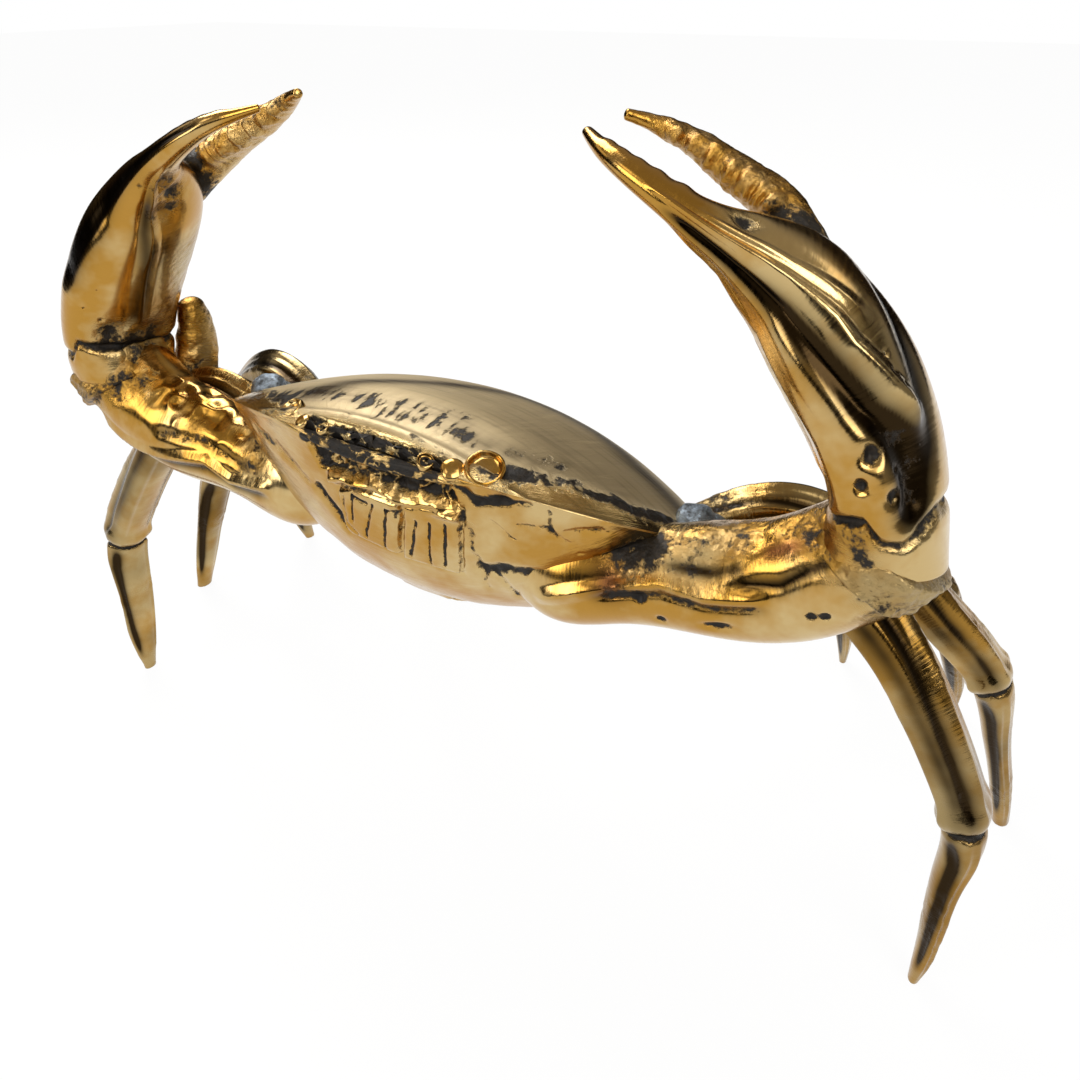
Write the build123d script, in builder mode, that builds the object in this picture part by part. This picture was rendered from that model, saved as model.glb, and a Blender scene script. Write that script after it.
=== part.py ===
"""A crab figurine of cast brass, standing on its eight leg tips with both claws raised.

The castings are joined by pegs in bores, with solder at the shoulders and a brazed ring at
each wrist.  Millimetres, Z up: X is the crab's own left, -Y its front and Z is zero on the
ground.  At the end the origin moves to the middle of the outline on the ground.
"""
from build123d import *
import math
import os

os.makedirs("parts", exist_ok=True)

# Body sizes
body_width = 96
body_length = 62
dome_height = 15
body_depth = 24
shell_wall = 3
rim_height = 76
nose_up = 29
body_roll = 3.6
widest_share = 0.53

# Rows run from the front edge to the back edge: place along the body, half width, dome and depth
body_shares = (
    (0, 0.42, 0.16, 0.10),
    (0.10, 0.69, 0.50, 0.42),
    (0.29, 0.90, 0.81, 0.86),
    (0.53, 1, 1, 1),
    (0.73, 0.86, 0.92, 0.96),
    (0.89, 0.62, 0.62, 0.70),
    (1, 0.35, 0.20, 0.20),
)

# Eyes, mouth plates and tail flap
eye_radius = 2.8
mouth_plate_width = 10
mouth_plate_height = 9
mouth_plate_gap = 1.2
mouth_plate_proud = 1.2
mouth_corner_radius = 1.5
tail_width = 26
tail_tip_width = 7
tail_proud = 0.8
mouth_slope = 42
eye_place_share = (0.41, 0.04)
mouth_place_share = (0.166, 0.51)
tail_span_share = (0.36, 0.93)

# Arms and claws
arm_height = 18
arm_depth = 17
arm_sag = 4.5
wrist_spread = 146
wrist_forward = 12.5
wrist_rise = 10
claw_reach = 46
claw_rise = 51
palm_height = 24.5
palm_thickness = 16
fixed_finger_lead = 6
finger_thickness = 8
tooth_radius = 1.5
tooth_sunk_share = 0.8
lobe_length = 17
lobe_width = 10
lobe_thickness = 8

arm_root_share = (0.50, 0.36, 0.46)
# Along, sag, height and depth
arm_shares = (
    (-0.08, 0, 0.60, 0.60),
    (0, 0.10, 0.88, 0.88),
    (0.28, 0.50, 0.92, 0.94),
    (0.55, 0.85, 1, 1),
    (0.79, 0.95, 1.06, 1.03),
    (1, 0, 1, 1.13),
)
# Inward reach, rise, forward lead, height and thickness, past the wrist
hand_shares = (
    (0.015, 0.17, -0.15, 0.96, 0.93),
    (0.10, 0.36, -0.25, 1.03, 0.94),
    (0.23, 0.53, -0.25, 1.01, 0.92),
    (0.39, 0.685, 0, 0.78, 0.74),
    (0.575, 0.805, 0.83, 0.34, 0.38),
    (0.75, 0.895, 1.05, 0.20, 0.23),
    (0.88, 0.95, 0.80, 0.13, 0.16),
    (0.99, 0.985, 0.05, 0.06, 0.08),
)
# Inward reach, rise, place behind the wrist in palm heights, height and thickness
finger_shares = (
    (0.33, 0.65, 0.30, 0.95, 0.90),
    (0.49, 0.79, 0.52, 0.95, 0.78),
    (0.59, 0.845, 0.56, 0.85, 0.66),
    (0.71, 0.902, 0.58, 0.72, 0.54),
    (0.84, 0.962, 0.55, 0.52, 0.38),
    (0.97, 1.006, 0.42, 0.20, 0.18),
)
# Places along the finger, in whole stations and parts of one, and the size of each tooth
tooth_shares = ((1.3, 1), (1.8, 1.15), (2.3, 1.1), (2.8, 1), (3.3, 0.8), (3.8, 0.6))
# Outward from the wrist, back and up in lobe lengths, then width and thickness
lobe_shares = (
    (-0.27, 0.70, -0.40, 1, 1),
    (-0.30, 0.87, 0.17, 0.90, 0.85),
    (-0.31, 0.88, 0.56, 0.60, 0.62),
)

# Legs
foot_spread = 220
stance_length = 86
leg_width = 10
leg_thickness = 9.6
leg_arch = 21
tip_bow = 1.5

# Each leg in turn: where it leaves the body, knee and foot, tip bow, width, thickness and
# bluntness
leg_shares = {
    "front": ((0.76, 0.53, 0.30), (0.86, -0.087, 0.505), (0.866, -0.125), 0.3, 1.10, 0.82, 1),
    "second": ((0.70, 0.68, 0.34), (0.866, 0.32, 0.54), (0.970, 0.415), 0.4, 0.98, 0.84, 1.7),
    "third": ((0.57, 0.80, 0.34), (0.782, 0.55, 0.54), (0.877, 0.75), 1, 0.92, 0.84, 1.2),
    "rear": ((0.32, 0.90, 0.30), (0.545, 0.72, 0.485), (0.60, 0.86), 0.7, 0.88, 0.83, 1),
}
# Arch and where it peaks, on the crab's right and left
leg_arches = {
    "front": ((1.10, 0.38), (1.12, 0.54)),
    "second": ((1.12, 0.33), (1, 0.33)),
    "third": ((0.40, 0.4), (0.40, 0.4)),
    "rear": ((0.15, 0.4), (0.15, 0.4)),
}
# Degrees by which each knee and foot is swung forward, on the crab's right and left
leg_swing = {
    "front": ((0, 0), (0, 0)),
    "second": ((2, 9), (0, 0)),
    "third": ((4, 4), (-3, -3)),
    "rear": ((0, 0), (0, 0)),
}
# Along, width and thickness of the upper leg
upper_leg_shares = (
    (0, 0.72, 0.72),
    (0.2, 0.92, 0.92),
    (0.42, 1, 1),
    (0.66, 1.04, 0.98),
    (0.85, 1.06, 0.94),
    (1, 0.94, 0.90),
)
# Along, bow, width and thickness of the leg tip
leg_tip_shares = (
    (0, 0, 0.84, 0.80),
    (0.32, 0.8, 0.80, 0.68),
    (0.68, 1, 0.66, 0.52),
    (1, 0, 0.28, 0.24),
)

# Pegs, solder and fits
limb_peg_radius = 2.2
knee_peg_radius = 1.5
finger_peg_radius = 1.8
peg_length = 6
knee_peg_length = 4
peg_clearance = 0.05
seat_gap = 0.05
joint_lead = 0.5
braze_thickness = 3
braze_bulge = 1.2
shoulder_bead_radius = 3.6
wrist_peg_radius = 2.8
shoulder_bead_shares = ((0.93, 0.43, -0.10), (0.96, 0.50, -0.06))

SIDES = {"right": -1, "left": 1}
# The first station of an arm and of a leg that lies outside the body, where its root peg ends
ARM_PEG_STATION = 3
LEG_PEG_STATION = 1


def body_axes():
    """The body's own right-to-left, front-to-back and up directions, pitched and rolled."""
    pitch = math.radians(nose_up)
    roll = math.radians(body_roll)
    back = Vector(0, math.cos(pitch), -math.sin(pitch))
    up = Vector(0, math.sin(pitch), math.cos(pitch))
    across = Vector(1, 0, 0)
    rolled_across = across * math.cos(roll) - up * math.sin(roll)
    rolled_up = across * math.sin(roll) + up * math.cos(roll)
    return rolled_across, back, rolled_up


ACROSS, BACK, UP = body_axes()
BODY_CENTRE = Vector(0, 0, rim_height)


def body_point(side, width_share, length_share, depth_share):
    """A point in the body: shares of the half width, of the length and of the depth below the rim."""
    along = (length_share - widest_share) * body_length
    place = BODY_CENTRE + ACROSS * (side * width_share * body_width / 2) + BACK * along
    return place - UP * (depth_share * body_depth)


def body_half(upwards, wall=0, grow=0):
    """Loft of bowed sections from front to back on one side of the rim plane.

    wall shrinks it evenly to the inner surface, and grow swells it by a little.
    """
    full_height = dome_height if upwards else body_depth
    height = (full_height - wall + grow) * (1 if upwards else -1)
    half_width = body_width / 2 - wall + grow
    length = body_length - 2 * (wall - grow)
    front = -widest_share * body_length + wall - grow
    with BuildPart() as half:
        for along_share, width_share, dome_share, depth_share in body_shares:
            rise = height * (dome_share if upwards else depth_share)
            reach = half_width * width_share
            station = BODY_CENTRE + BACK * (front + length * along_share)
            with BuildSketch(Plane(origin=station, x_dir=ACROSS, z_dir=-BACK)):
                with BuildLine():
                    ThreePointArc((-reach, 0), (0, rise), (reach, 0))
                    Line((reach, 0), (-reach, 0))
                make_face()
        loft()
    return half.part


def chain_planes(places):
    """A plane at each place of a path, square to it, with its local X turned to the back."""
    planes = []
    for index, place in enumerate(places):
        before = places[max(index - 1, 0)]
        after = places[min(index + 1, len(places) - 1)]
        onward = (after - before).normalized()
        backward = Vector(0, 1, 0)
        level = (backward - onward * backward.dot(onward)).normalized()
        planes.append(Plane(origin=place, x_dir=level, z_dir=onward))
    return planes


def limb_loft(planes, sections, grow=0, start_lead=0, end_lead=0):
    """Loft of ellipses, one on each plane, given by height and thickness.

    grow swells it by a little all round, past its two ends as well.  A lead carries it on past
    an end that is cut flat afterwards.
    """
    first = planes[0].offset(-grow - start_lead)
    last = planes[-1].offset(grow + end_lead)
    stations = [first] + planes[1:-1] + [last]
    with BuildPart() as limb:
        for plane, (height, thickness) in zip(stations, sections):
            with BuildSketch(plane):
                Ellipse(height / 2 + grow, thickness / 2 + grow)
        loft()
    return limb.part


def peg_plane(start, end):
    """Plane at the start of a peg, facing its end."""
    return Plane(origin=start, z_dir=(end - start).normalized())


def wrist_place(side):
    """Middle of the joint between an arm and its hand."""
    return Vector(side * wrist_spread / 2, -wrist_forward, rim_height + wrist_rise)


def arm_and_hand(side):
    """Planes and sections of the arm, and of the hand that carries on from it at the wrist."""
    root = body_point(side, *arm_root_share)
    wrist = wrist_place(side)
    arm_places = []
    arm_sections = []
    for along, sag, height, depth in arm_shares:
        arm_places.append(root + (wrist - root) * along - Vector(0, 0, arm_sag * sag))
        arm_sections.append((arm_depth * depth, arm_height * height))
    hand_places = [wrist]
    hand_sections = [arm_sections[-1]]
    for reach, rise, lead, height, thickness in hand_shares:
        shift = Vector(-side * claw_reach * reach, -fixed_finger_lead * lead, claw_rise * rise)
        hand_places.append(wrist + shift)
        hand_sections.append((palm_height * height, palm_thickness * thickness))
    planes = chain_planes(arm_places + hand_places[1:])
    wrist_plane = planes[len(arm_places) - 1]
    seam = braze_thickness / 2 + seat_gap
    arm_planes = planes[: len(arm_places) - 1] + [wrist_plane.offset(-seam)]
    hand_planes = [wrist_plane.offset(seam)] + planes[len(arm_places) :]
    return arm_planes, arm_sections, hand_planes, hand_sections


def finger_path(side):
    """Planes and sections of the toothed finger behind the palm."""
    wrist = wrist_place(side)
    places = []
    sections = []
    for reach, rise, back, height, thickness in finger_shares:
        places.append(wrist + Vector(-side * claw_reach * reach, palm_height * back, claw_rise * rise))
        sections.append((finger_thickness * height, finger_thickness * thickness))
    return chain_planes(places), sections


def lobe_path(side):
    """Planes and sections of the knob that stands up behind the wrist."""
    wrist = wrist_place(side)
    places = []
    sections = []
    for out, back, rise, width, thickness in lobe_shares:
        places.append(wrist + Vector(side * out, back, rise) * lobe_length)
        sections.append((lobe_width * width, lobe_thickness * thickness))
    return chain_planes(places), sections


def arch_rise(along, peak):
    """Height share of a leg's arch: it leaves level, swells to the peak and falls as a parabola."""
    if along < peak:
        return math.sin(math.pi / 2 * along / peak) ** 2
    return 1 - ((along - peak) / (1 - peak)) ** 2


def leg_path(name, side):
    """Planes and sections of the upper leg, and of the tip that carries on from the knee."""
    root_share, knee_share, foot_share, bow, wide, thick, blunt = leg_shares[name]
    arch, peak = leg_arches[name][0 if side < 0 else 1]
    knee_swing, foot_swing = leg_swing[name][0 if side < 0 else 1]
    root = body_point(side, *root_share)

    def swung(out, back, height, degrees):
        """A place given before the swing, turned about the root's vertical axis."""
        swing = -side * math.radians(degrees)
        arm = Vector(side * out, back, height) - root
        turned_x = arm.X * math.cos(swing) - arm.Y * math.sin(swing)
        turned_y = arm.X * math.sin(swing) + arm.Y * math.cos(swing)
        return root + Vector(turned_x, turned_y, arm.Z)

    spread = foot_spread / 2
    knee_out, knee_back, knee_height = knee_share
    foot_out, foot_back = foot_share
    knee = swung(knee_out * spread, knee_back * stance_length, knee_height * rim_height, knee_swing)
    foot = swung(foot_out * spread, foot_back * stance_length, 0, foot_swing)
    upper_places = []
    upper_sections = []
    for along, width, thickness in upper_leg_shares:
        rise = Vector(0, 0, leg_arch * arch * arch_rise(along, peak))
        upper_places.append(root + (knee - root) * along + rise)
        upper_sections.append((leg_width * wide * width, leg_thickness * thick * thickness))
    tip_places = []
    tip_sections = []
    for along, bowed, width, thickness in leg_tip_shares:
        outward = Vector(side * tip_bow * bow * bowed, 0, 0)
        tip_places.append(knee + (foot - knee) * along + outward)
        swell = blunt if along == 1 else 1
        tip_sections.append(
            (leg_width * wide * width * swell, leg_thickness * thick * thickness * swell)
        )
    planes = chain_planes(upper_places + tip_places[1:])
    split_at = len(upper_places)
    return planes[:split_at], upper_sections, planes[split_at - 1 :], tip_sections


def peg(plane, radius, length, back=0):
    """A round peg on a plane, reaching on by its length and back by the other one."""
    with BuildPart() as pin:
        with BuildSketch(plane):
            Circle(radius)
        extrude(amount=length)
        if back:
            with BuildSketch(plane):
                Circle(radius)
            extrude(amount=-back)
    return pin.part


def root_peg(planes, station, grow=0):
    """The peg that holds a limb in the body, from its root to a station outside."""
    start = planes[0].origin
    end = planes[station].origin
    reach = (end - start).length
    return peg(peg_plane(start, end), limb_peg_radius + grow, reach + grow)


finished = {}
outer_body = body_half(True, grow=seat_gap) + body_half(False, grow=seat_gap)
root_bores = []

# Arms, claws, legs and the solder that joins them
for side_name, side in SIDES.items():
    arm_planes, arm_sections, hand_planes, hand_sections = arm_and_hand(side)
    arm_form = limb_loft(arm_planes, arm_sections, end_lead=joint_lead)
    arm_clear = limb_loft(arm_planes, arm_sections, seat_gap)
    arm_peg = root_peg(arm_planes, ARM_PEG_STATION)
    root_bores.append(root_peg(arm_planes, ARM_PEG_STATION, peg_clearance))
    lobe_planes, lobe_sections = lobe_path(side)
    lobe_form = limb_loft(lobe_planes, lobe_sections)
    lobe_clear = limb_loft(lobe_planes, lobe_sections, seat_gap)

    palm_seat = hand_planes[0]
    hand_form = limb_loft(hand_planes, hand_sections, start_lead=joint_lead)
    hand_clear = limb_loft(hand_planes, hand_sections, seat_gap)
    wrist_peg = peg(palm_seat, wrist_peg_radius, peg_length, peg_length + braze_thickness)
    finger_planes, finger_sections = finger_path(side)
    finger_seat = peg_plane(finger_planes[0].origin, finger_planes[1].origin)
    finger_reach = (finger_planes[1].origin - finger_planes[0].origin).length
    finger_form = limb_loft(finger_planes, finger_sections)
    finger_peg = peg(finger_seat, finger_peg_radius, finger_reach, peg_length)
    finger_bore = peg(
        finger_seat,
        finger_peg_radius + peg_clearance,
        finger_reach,
        peg_length + peg_clearance,
    )

    seam_height, seam_thickness = arm_sections[-1]
    ring_height = seam_height / 2 + braze_bulge
    ring_thickness = seam_thickness / 2 + braze_bulge
    palm_room = limb_loft(hand_planes, hand_sections, seat_gap)
    # The knob behind the wrist, kept clear of the palm and of the brazed ring
    with BuildPart() as lobe_part:
        add(lobe_form)
        with BuildSketch(arm_planes[-1]):
            Ellipse(ring_height + seat_gap, ring_thickness + seat_gap)
        extrude(amount=braze_thickness + 2 * seat_gap, mode=Mode.SUBTRACT)
        add(palm_room, mode=Mode.SUBTRACT)

    with BuildPart() as arm:
        add(arm_form)
        split(bisect_by=arm_planes[-1], keep=Keep.BOTTOM)
        add(lobe_part.part)
        add(outer_body, mode=Mode.SUBTRACT)
        add(arm_peg)
        with BuildSketch(arm_planes[-1]):
            Circle(wrist_peg_radius + peg_clearance)
        extrude(amount=-peg_length - peg_clearance, mode=Mode.SUBTRACT)
    finished[f"arm_{side_name}"] = arm.part

    with BuildPart() as hand:
        add(hand_form)
        split(bisect_by=palm_seat, keep=Keep.TOP)
        add(wrist_peg)
        add(finger_bore, mode=Mode.SUBTRACT)
    finished[f"claw_{side_name}"] = hand.part

    with BuildPart() as finger:
        add(finger_form)
        add(hand_clear, mode=Mode.SUBTRACT)
        for place, size in tooth_shares:
            step = int(place)
            near = finger_planes[step]
            ahead = finger_planes[step + 1]
            middle = near.origin + (ahead.origin - near.origin) * (place - step)
            half_height = finger_sections[step][0] / 2
            spot = middle - near.x_dir * half_height * tooth_sunk_share
            with Locations(Plane(origin=spot, x_dir=near.z_dir, z_dir=near.x_dir)):
                Sphere(tooth_radius * size)
        add(finger_peg)
    finished[f"claw_finger_{side_name}"] = finger.part

    with BuildPart() as wrist_braze:
        with BuildSketch(arm_planes[-1].offset(seat_gap)):
            Ellipse(ring_height, ring_thickness)
            Circle(wrist_peg_radius + peg_clearance, mode=Mode.SUBTRACT)
        extrude(amount=braze_thickness)
        rims = wrist_braze.faces().filter_by(GeomType.PLANE).edges()
        fillet([rim for rim in rims if rim.geom_type != GeomType.CIRCLE], braze_bulge)
    finished[f"wrist_braze_{side_name}"] = wrist_braze.part

    front_planes, front_sections, _, _ = leg_path("front", side)
    front_clear = limb_loft(front_planes, front_sections, seat_gap)
    front_bore = root_peg(front_planes, LEG_PEG_STATION, peg_clearance)

    with BuildPart() as shoulder_solder:
        for bead_share in shoulder_bead_shares:
            with Locations(body_point(side, *bead_share)):
                Sphere(shoulder_bead_radius)
        add(arm_clear, mode=Mode.SUBTRACT)
        add(outer_body, mode=Mode.SUBTRACT)
        add(front_clear, mode=Mode.SUBTRACT)
        add(front_bore, mode=Mode.SUBTRACT)
    finished[f"shoulder_solder_{side_name}"] = shoulder_solder.part

    for leg_name in leg_shares:
        upper_planes, upper_sections, tip_planes, tip_sections = leg_path(leg_name, side)
        upper_form = limb_loft(upper_planes, upper_sections, end_lead=joint_lead)
        leg_peg = root_peg(upper_planes, LEG_PEG_STATION)
        root_bores.append(root_peg(upper_planes, LEG_PEG_STATION, peg_clearance))
        knee_plane = tip_planes[0]
        tip_form = limb_loft(tip_planes, tip_sections, start_lead=joint_lead)
        knee_peg = peg(knee_plane, knee_peg_radius, knee_peg_length, knee_peg_length)

        with BuildPart() as upper_leg:
            add(upper_form)
            split(bisect_by=knee_plane, keep=Keep.BOTTOM)
            add(outer_body, mode=Mode.SUBTRACT)
            if leg_name == "front":
                add(arm_clear, mode=Mode.SUBTRACT)
                add(lobe_clear, mode=Mode.SUBTRACT)
            add(leg_peg)
            with BuildSketch(knee_plane):
                Circle(knee_peg_radius + peg_clearance)
            extrude(amount=-knee_peg_length - peg_clearance, mode=Mode.SUBTRACT)
        finished[f"{leg_name}_leg_{side_name}"] = upper_leg.part

        # The foot is filed flat where it stands on the ground
        with BuildPart() as leg_tip:
            add(tip_form)
            split(bisect_by=knee_plane, keep=Keep.TOP)
            split(bisect_by=Plane.XY, keep=Keep.TOP)
            add(knee_peg)
        finished[f"{leg_name}_leg_tip_{side_name}"] = leg_tip.part

dome = body_half(True)
dome_hollow = body_half(True, wall=shell_wall)
belly = body_half(False)
belly_hollow = body_half(False, wall=shell_wall)
tail_skin = body_half(False, grow=tail_proud)

# Top shell of the body, with the eyes cast on its front edge
with BuildPart() as carapace:
    add(dome)
    for side in SIDES.values():
        with Locations(body_point(side, *eye_place_share, 0)):
            Sphere(eye_radius)
    split(bisect_by=Plane(origin=BODY_CENTRE, x_dir=ACROSS, z_dir=UP), keep=Keep.TOP)
    add(dome_hollow, mode=Mode.SUBTRACT)
    for bore in root_bores:
        add(bore, mode=Mode.SUBTRACT)
finished["carapace"] = carapace.part

# The folded tail follows the lower shell and stands a little proud of it
tail_front, tail_back = ((share - widest_share) * body_length for share in tail_span_share)
with BuildPart() as tail_flap:
    add(tail_skin)
    with BuildSketch(Plane(origin=BODY_CENTRE, x_dir=ACROSS, z_dir=-UP)):
        with BuildLine():
            Polyline(
                (-tail_tip_width / 2, -tail_front),
                (tail_tip_width / 2, -tail_front),
                (tail_width / 2, -tail_back),
                (-tail_width / 2, -tail_back),
                close=True,
            )
        make_face()
    extrude(amount=body_depth + tail_proud, mode=Mode.INTERSECT)

mouth_along = (mouth_place_share[0] - widest_share) * body_length
mouth_centre = BODY_CENTRE + BACK * mouth_along - UP * (mouth_place_share[1] * body_depth)
mouth_lean = math.radians(mouth_slope)
mouth_normal = -BACK * math.cos(mouth_lean) - UP * math.sin(mouth_lean)

# Lower shell of the body, with the mouth plates and the folded tail cast on it
with BuildPart() as underbody:
    add(belly)
    add(tail_flap.part)
    with BuildSketch(Plane(origin=mouth_centre, x_dir=ACROSS, z_dir=mouth_normal)):
        with GridLocations(mouth_plate_width + mouth_plate_gap, 0, 2, 1):
            RectangleRounded(mouth_plate_width, mouth_plate_height, mouth_corner_radius)
    extrude(amount=mouth_plate_proud, both=True)
    for bore in root_bores:
        add(bore, mode=Mode.SUBTRACT)
    add(belly_hollow, mode=Mode.SUBTRACT)
finished["underbody"] = underbody.part

# The origin moves to the middle of the outline on the ground
corners = [piece.bounding_box() for piece in finished.values()]
middle_x = (min(box.min.X for box in corners) + max(box.max.X for box in corners)) / 2
middle_y = (min(box.min.Y for box in corners) + max(box.max.Y for box in corners)) / 2
for name, piece in finished.items():
    placed = piece.moved(Location((-middle_x, -middle_y, 0)))
    placed.label = name
    export_step(placed, f"parts/{name}.step")
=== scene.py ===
"""The looks of a crab figurine: aged cast brass, polished on the outside and black in its hollows.

Every casting is a tube of rings carried along its own path and shaped by numpy. Lengths are in
millimetres until a mesh is made. +X is the crab's own left, -Y its front and +Z is up.
"""

import bpy
import numpy as np
from bpy.props import FloatProperty, FloatVectorProperty, PointerProperty
from mathutils import Matrix


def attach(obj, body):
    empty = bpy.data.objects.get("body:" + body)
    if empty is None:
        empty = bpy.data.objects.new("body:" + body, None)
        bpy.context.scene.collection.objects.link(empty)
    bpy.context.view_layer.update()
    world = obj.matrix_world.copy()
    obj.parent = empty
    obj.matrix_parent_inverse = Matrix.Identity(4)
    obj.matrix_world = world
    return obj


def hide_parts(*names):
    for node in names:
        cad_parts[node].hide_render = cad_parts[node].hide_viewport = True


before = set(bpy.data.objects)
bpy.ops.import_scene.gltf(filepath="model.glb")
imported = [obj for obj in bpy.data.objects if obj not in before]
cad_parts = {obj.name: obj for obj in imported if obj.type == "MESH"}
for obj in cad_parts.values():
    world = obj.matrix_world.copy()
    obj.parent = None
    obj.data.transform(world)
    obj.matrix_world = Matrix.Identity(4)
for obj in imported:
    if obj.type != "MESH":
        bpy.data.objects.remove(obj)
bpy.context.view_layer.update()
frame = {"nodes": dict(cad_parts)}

bl_info = {
    "name": "Cast Brass Crab",
    "version": (1, 0, 0),
    "blender": (4, 5, 0),
    "location": "3D View > Sidebar > Crab",
    "description": "Builds the castings, solder and studio of a brass crab figurine",
    "category": "Object",
}

MM = 0.001
SIDES = {"right": -1, "left": 1}
# Middle of the body on its rim plane, and the wrists' spread, forward lead and height
BODY_CENTRE = np.array([1.92, -22.57, 76.0])
WRIST = np.array([73.0, -12.5, 86.0])
BODY_WIDTH = 96.0
BODY_LENGTH = 62.0
DOME_HEIGHT = 15.0
BODY_DEPTH = 24.0
NOSE_UP = 29.0
BODY_ROLL = 3.6
WIDEST_SHARE = 0.53
# Place along the body, half width, dome and depth
BODY_SHARES = (
    (0, 0.42, 0.16, 0.10),
    (0.10, 0.69, 0.50, 0.42),
    (0.29, 0.90, 0.81, 0.86),
    (0.53, 1, 1, 1),
    (0.73, 0.86, 0.92, 0.96),
    (0.89, 0.62, 0.62, 0.70),
    (1, 0.35, 0.20, 0.20),
)
# Finish at every point: black oxide, brown tarnish that also carries painted shade and painted dark
# reflections, sandy skin, copper red and mirror polish
MARKS = ("patina", "tarnish", "coarse", "copper", "bright")


# Shapes as arrays


def smooth_through(knots, rows, places):
    """Rows read at the places on the natural cubic spline that passes through them at the knots.

    The second derivatives come from one small linear system, and each place is then a cubic of
    its share of the span it lies in.
    """
    knots = np.asarray(knots, float)
    rows = np.asarray(rows, float)
    places = np.asarray(places, float)
    spans = np.diff(knots)
    count = len(knots)
    system = np.eye(count)
    wanted = np.zeros_like(rows)
    inner = np.arange(1, count - 1)
    system[inner, inner - 1] = spans[:-1]
    system[inner, inner] = 2 * (spans[:-1] + spans[1:])
    system[inner, inner + 1] = spans[1:]
    slopes = np.diff(rows, axis=0) / spans[:, None]
    wanted[inner] = 6 * np.diff(slopes, axis=0)
    bends = np.linalg.solve(system, wanted)
    span = np.clip(np.searchsorted(knots, places, side="right") - 1, 0, count - 2)
    width = spans[span][:, None]
    after = ((places - knots[span]) / spans[span])[:, None]
    before = 1 - after
    flat = before * rows[span] + after * rows[span + 1]
    curve = (before**3 - before) * bends[span] + (after**3 - after) * bends[span + 1]
    return flat + curve * width**2 / 6


def fade(low, high, value):
    """Rises smoothly from 0 at low to 1 at high."""
    share = np.clip((value - low) / (high - low), 0, 1)
    return share * share * (3 - 2 * share)


def grain(points, size, seed):
    """Smooth random values from -1 to 1 in space, whose lumps are about `size` across.

    Each point blends the eight random numbers at the corners of its cell in a repeating lattice.
    """
    lattice = np.random.default_rng(seed).uniform(-1, 1, (32, 32, 32))
    scaled = points / size + 1000.5
    cell = np.floor(scaled).astype(int)
    share = scaled - cell
    share = share * share * (3 - 2 * share)
    total = np.zeros(points.shape[:-1])
    for corner in np.ndindex(2, 2, 2):
        index = (cell + corner) % 32
        weight = np.prod(np.where(np.array(corner) == 1, share, 1 - share), axis=-1)
        total += weight * lattice[index[..., 0], index[..., 1], index[..., 2]]
    return total


def rough_grain(points, size, seed):
    """Three sizes of grain on top of each other, each half as large as the last."""
    return (
        grain(points, size, seed)
        + grain(points, size / 2, seed + 1) / 2
        + grain(points, size / 4, seed + 2) / 4
    ) / 1.75


class Casting:
    """Rings of points along a path, with the outward direction and finish at every point.

    along runs from 0 to 1 down the path and angle goes round it in degrees: 0 faces the crab's
    back, 90 its middle line, 180 its front and 270 outwards.
    """

    def __init__(self, points, outward, along, angle):
        self.points = points
        self.outward = outward
        self.along = along
        self.angle = angle
        for mark in MARKS:
            setattr(self, mark, np.zeros(points.shape[:2]))

    def raise_by(self, height):
        """Moves every point outwards by its height, or inwards where the height is negative."""
        self.points = self.points + self.outward * height[..., None]

    def off_line(self, path):
        """Degrees from a line over the surface, and a share that fades past the line's ends.

        The path gives places along and angles in degrees.
        """
        places, angles = np.transpose(path)
        middle = np.interp(self.along, places, angles)
        off = np.abs((self.angle - middle + 180) % 360 - 180)
        ends = fade(places[0] - 0.04, places[0] + 0.03, self.along)
        return off, ends * (1 - fade(places[-1] - 0.03, places[-1] + 0.04, self.along))

    def line(self, path, width):
        """A share from 1 on a line to 0 beside it, as a bell curve some degrees wide."""
        off, ends = self.off_line(path)
        return np.exp(-((off / width) ** 2)) * ends

    def crease(self, path, width):
        """As line, but with a sharp crest: the share falls off in proportion to the distance."""
        off, ends = self.off_line(path)
        return np.clip(1 - off / width, 0, 1) * ends

    def belt(self, path, width):
        """As line, but round the piece: the path gives angles and places along."""
        angles, places = np.transpose(path)
        middle = np.interp(self.angle, angles, places, period=360)
        return np.exp(-(((self.along - middle) / width) ** 2))

    def dots(self, path, radius):
        """A share from 1 at each surface point of the path to 0 a few radii away."""
        total = np.zeros(self.along.shape)
        for along, angle in path:
            row = int(np.argmin(np.abs(self.along[:, 0] - along)))
            off = np.abs((self.angle[0] - angle + 180) % 360 - 180)
            distance = np.linalg.norm(self.points - self.points[row, int(np.argmin(off))], axis=-1)
            total = np.maximum(total, np.exp(-((distance / radius) ** 2)))
        return total

    def work(self, rows):
        """Applies rows of relief and finish to the surface.

        Each row names how a share is drawn, its path and width, its height in millimetres, and
        how much of each mark it adds. Heights shrink where the casting is slender.
        """
        rise = np.zeros(self.along.shape)
        for kind, path, width, height, *finish in rows:
            share = getattr(self, kind)(path, width)
            rise += share * height
            for mark, amount in zip(MARKS, finish):
                setattr(self, mark, getattr(self, mark) + share * amount)
        middle = self.points.mean(1)[:, None]
        girth = np.linalg.norm(self.points - middle, axis=-1).mean(1)[:, None]
        self.raise_by(rise * np.clip(girth / 5, 0.1, 1))

    def weather(self, depth, seed, waves=0.10):
        """Adds the hand-polished waves, about 8 mm long, and the lumps that the sand left."""
        self.coarse = np.clip(self.coarse, 0, 1)
        lumps = rough_grain(self.points, 1.9, seed + 1)
        self.raise_by(waves * grain(self.points, 8, seed) + depth * self.coarse * lumps)


def spread_out(along, angle):
    """The place along and the angle at every point of a grid of rings."""
    return np.meshgrid(along, angle, indexing="ij")


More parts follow.
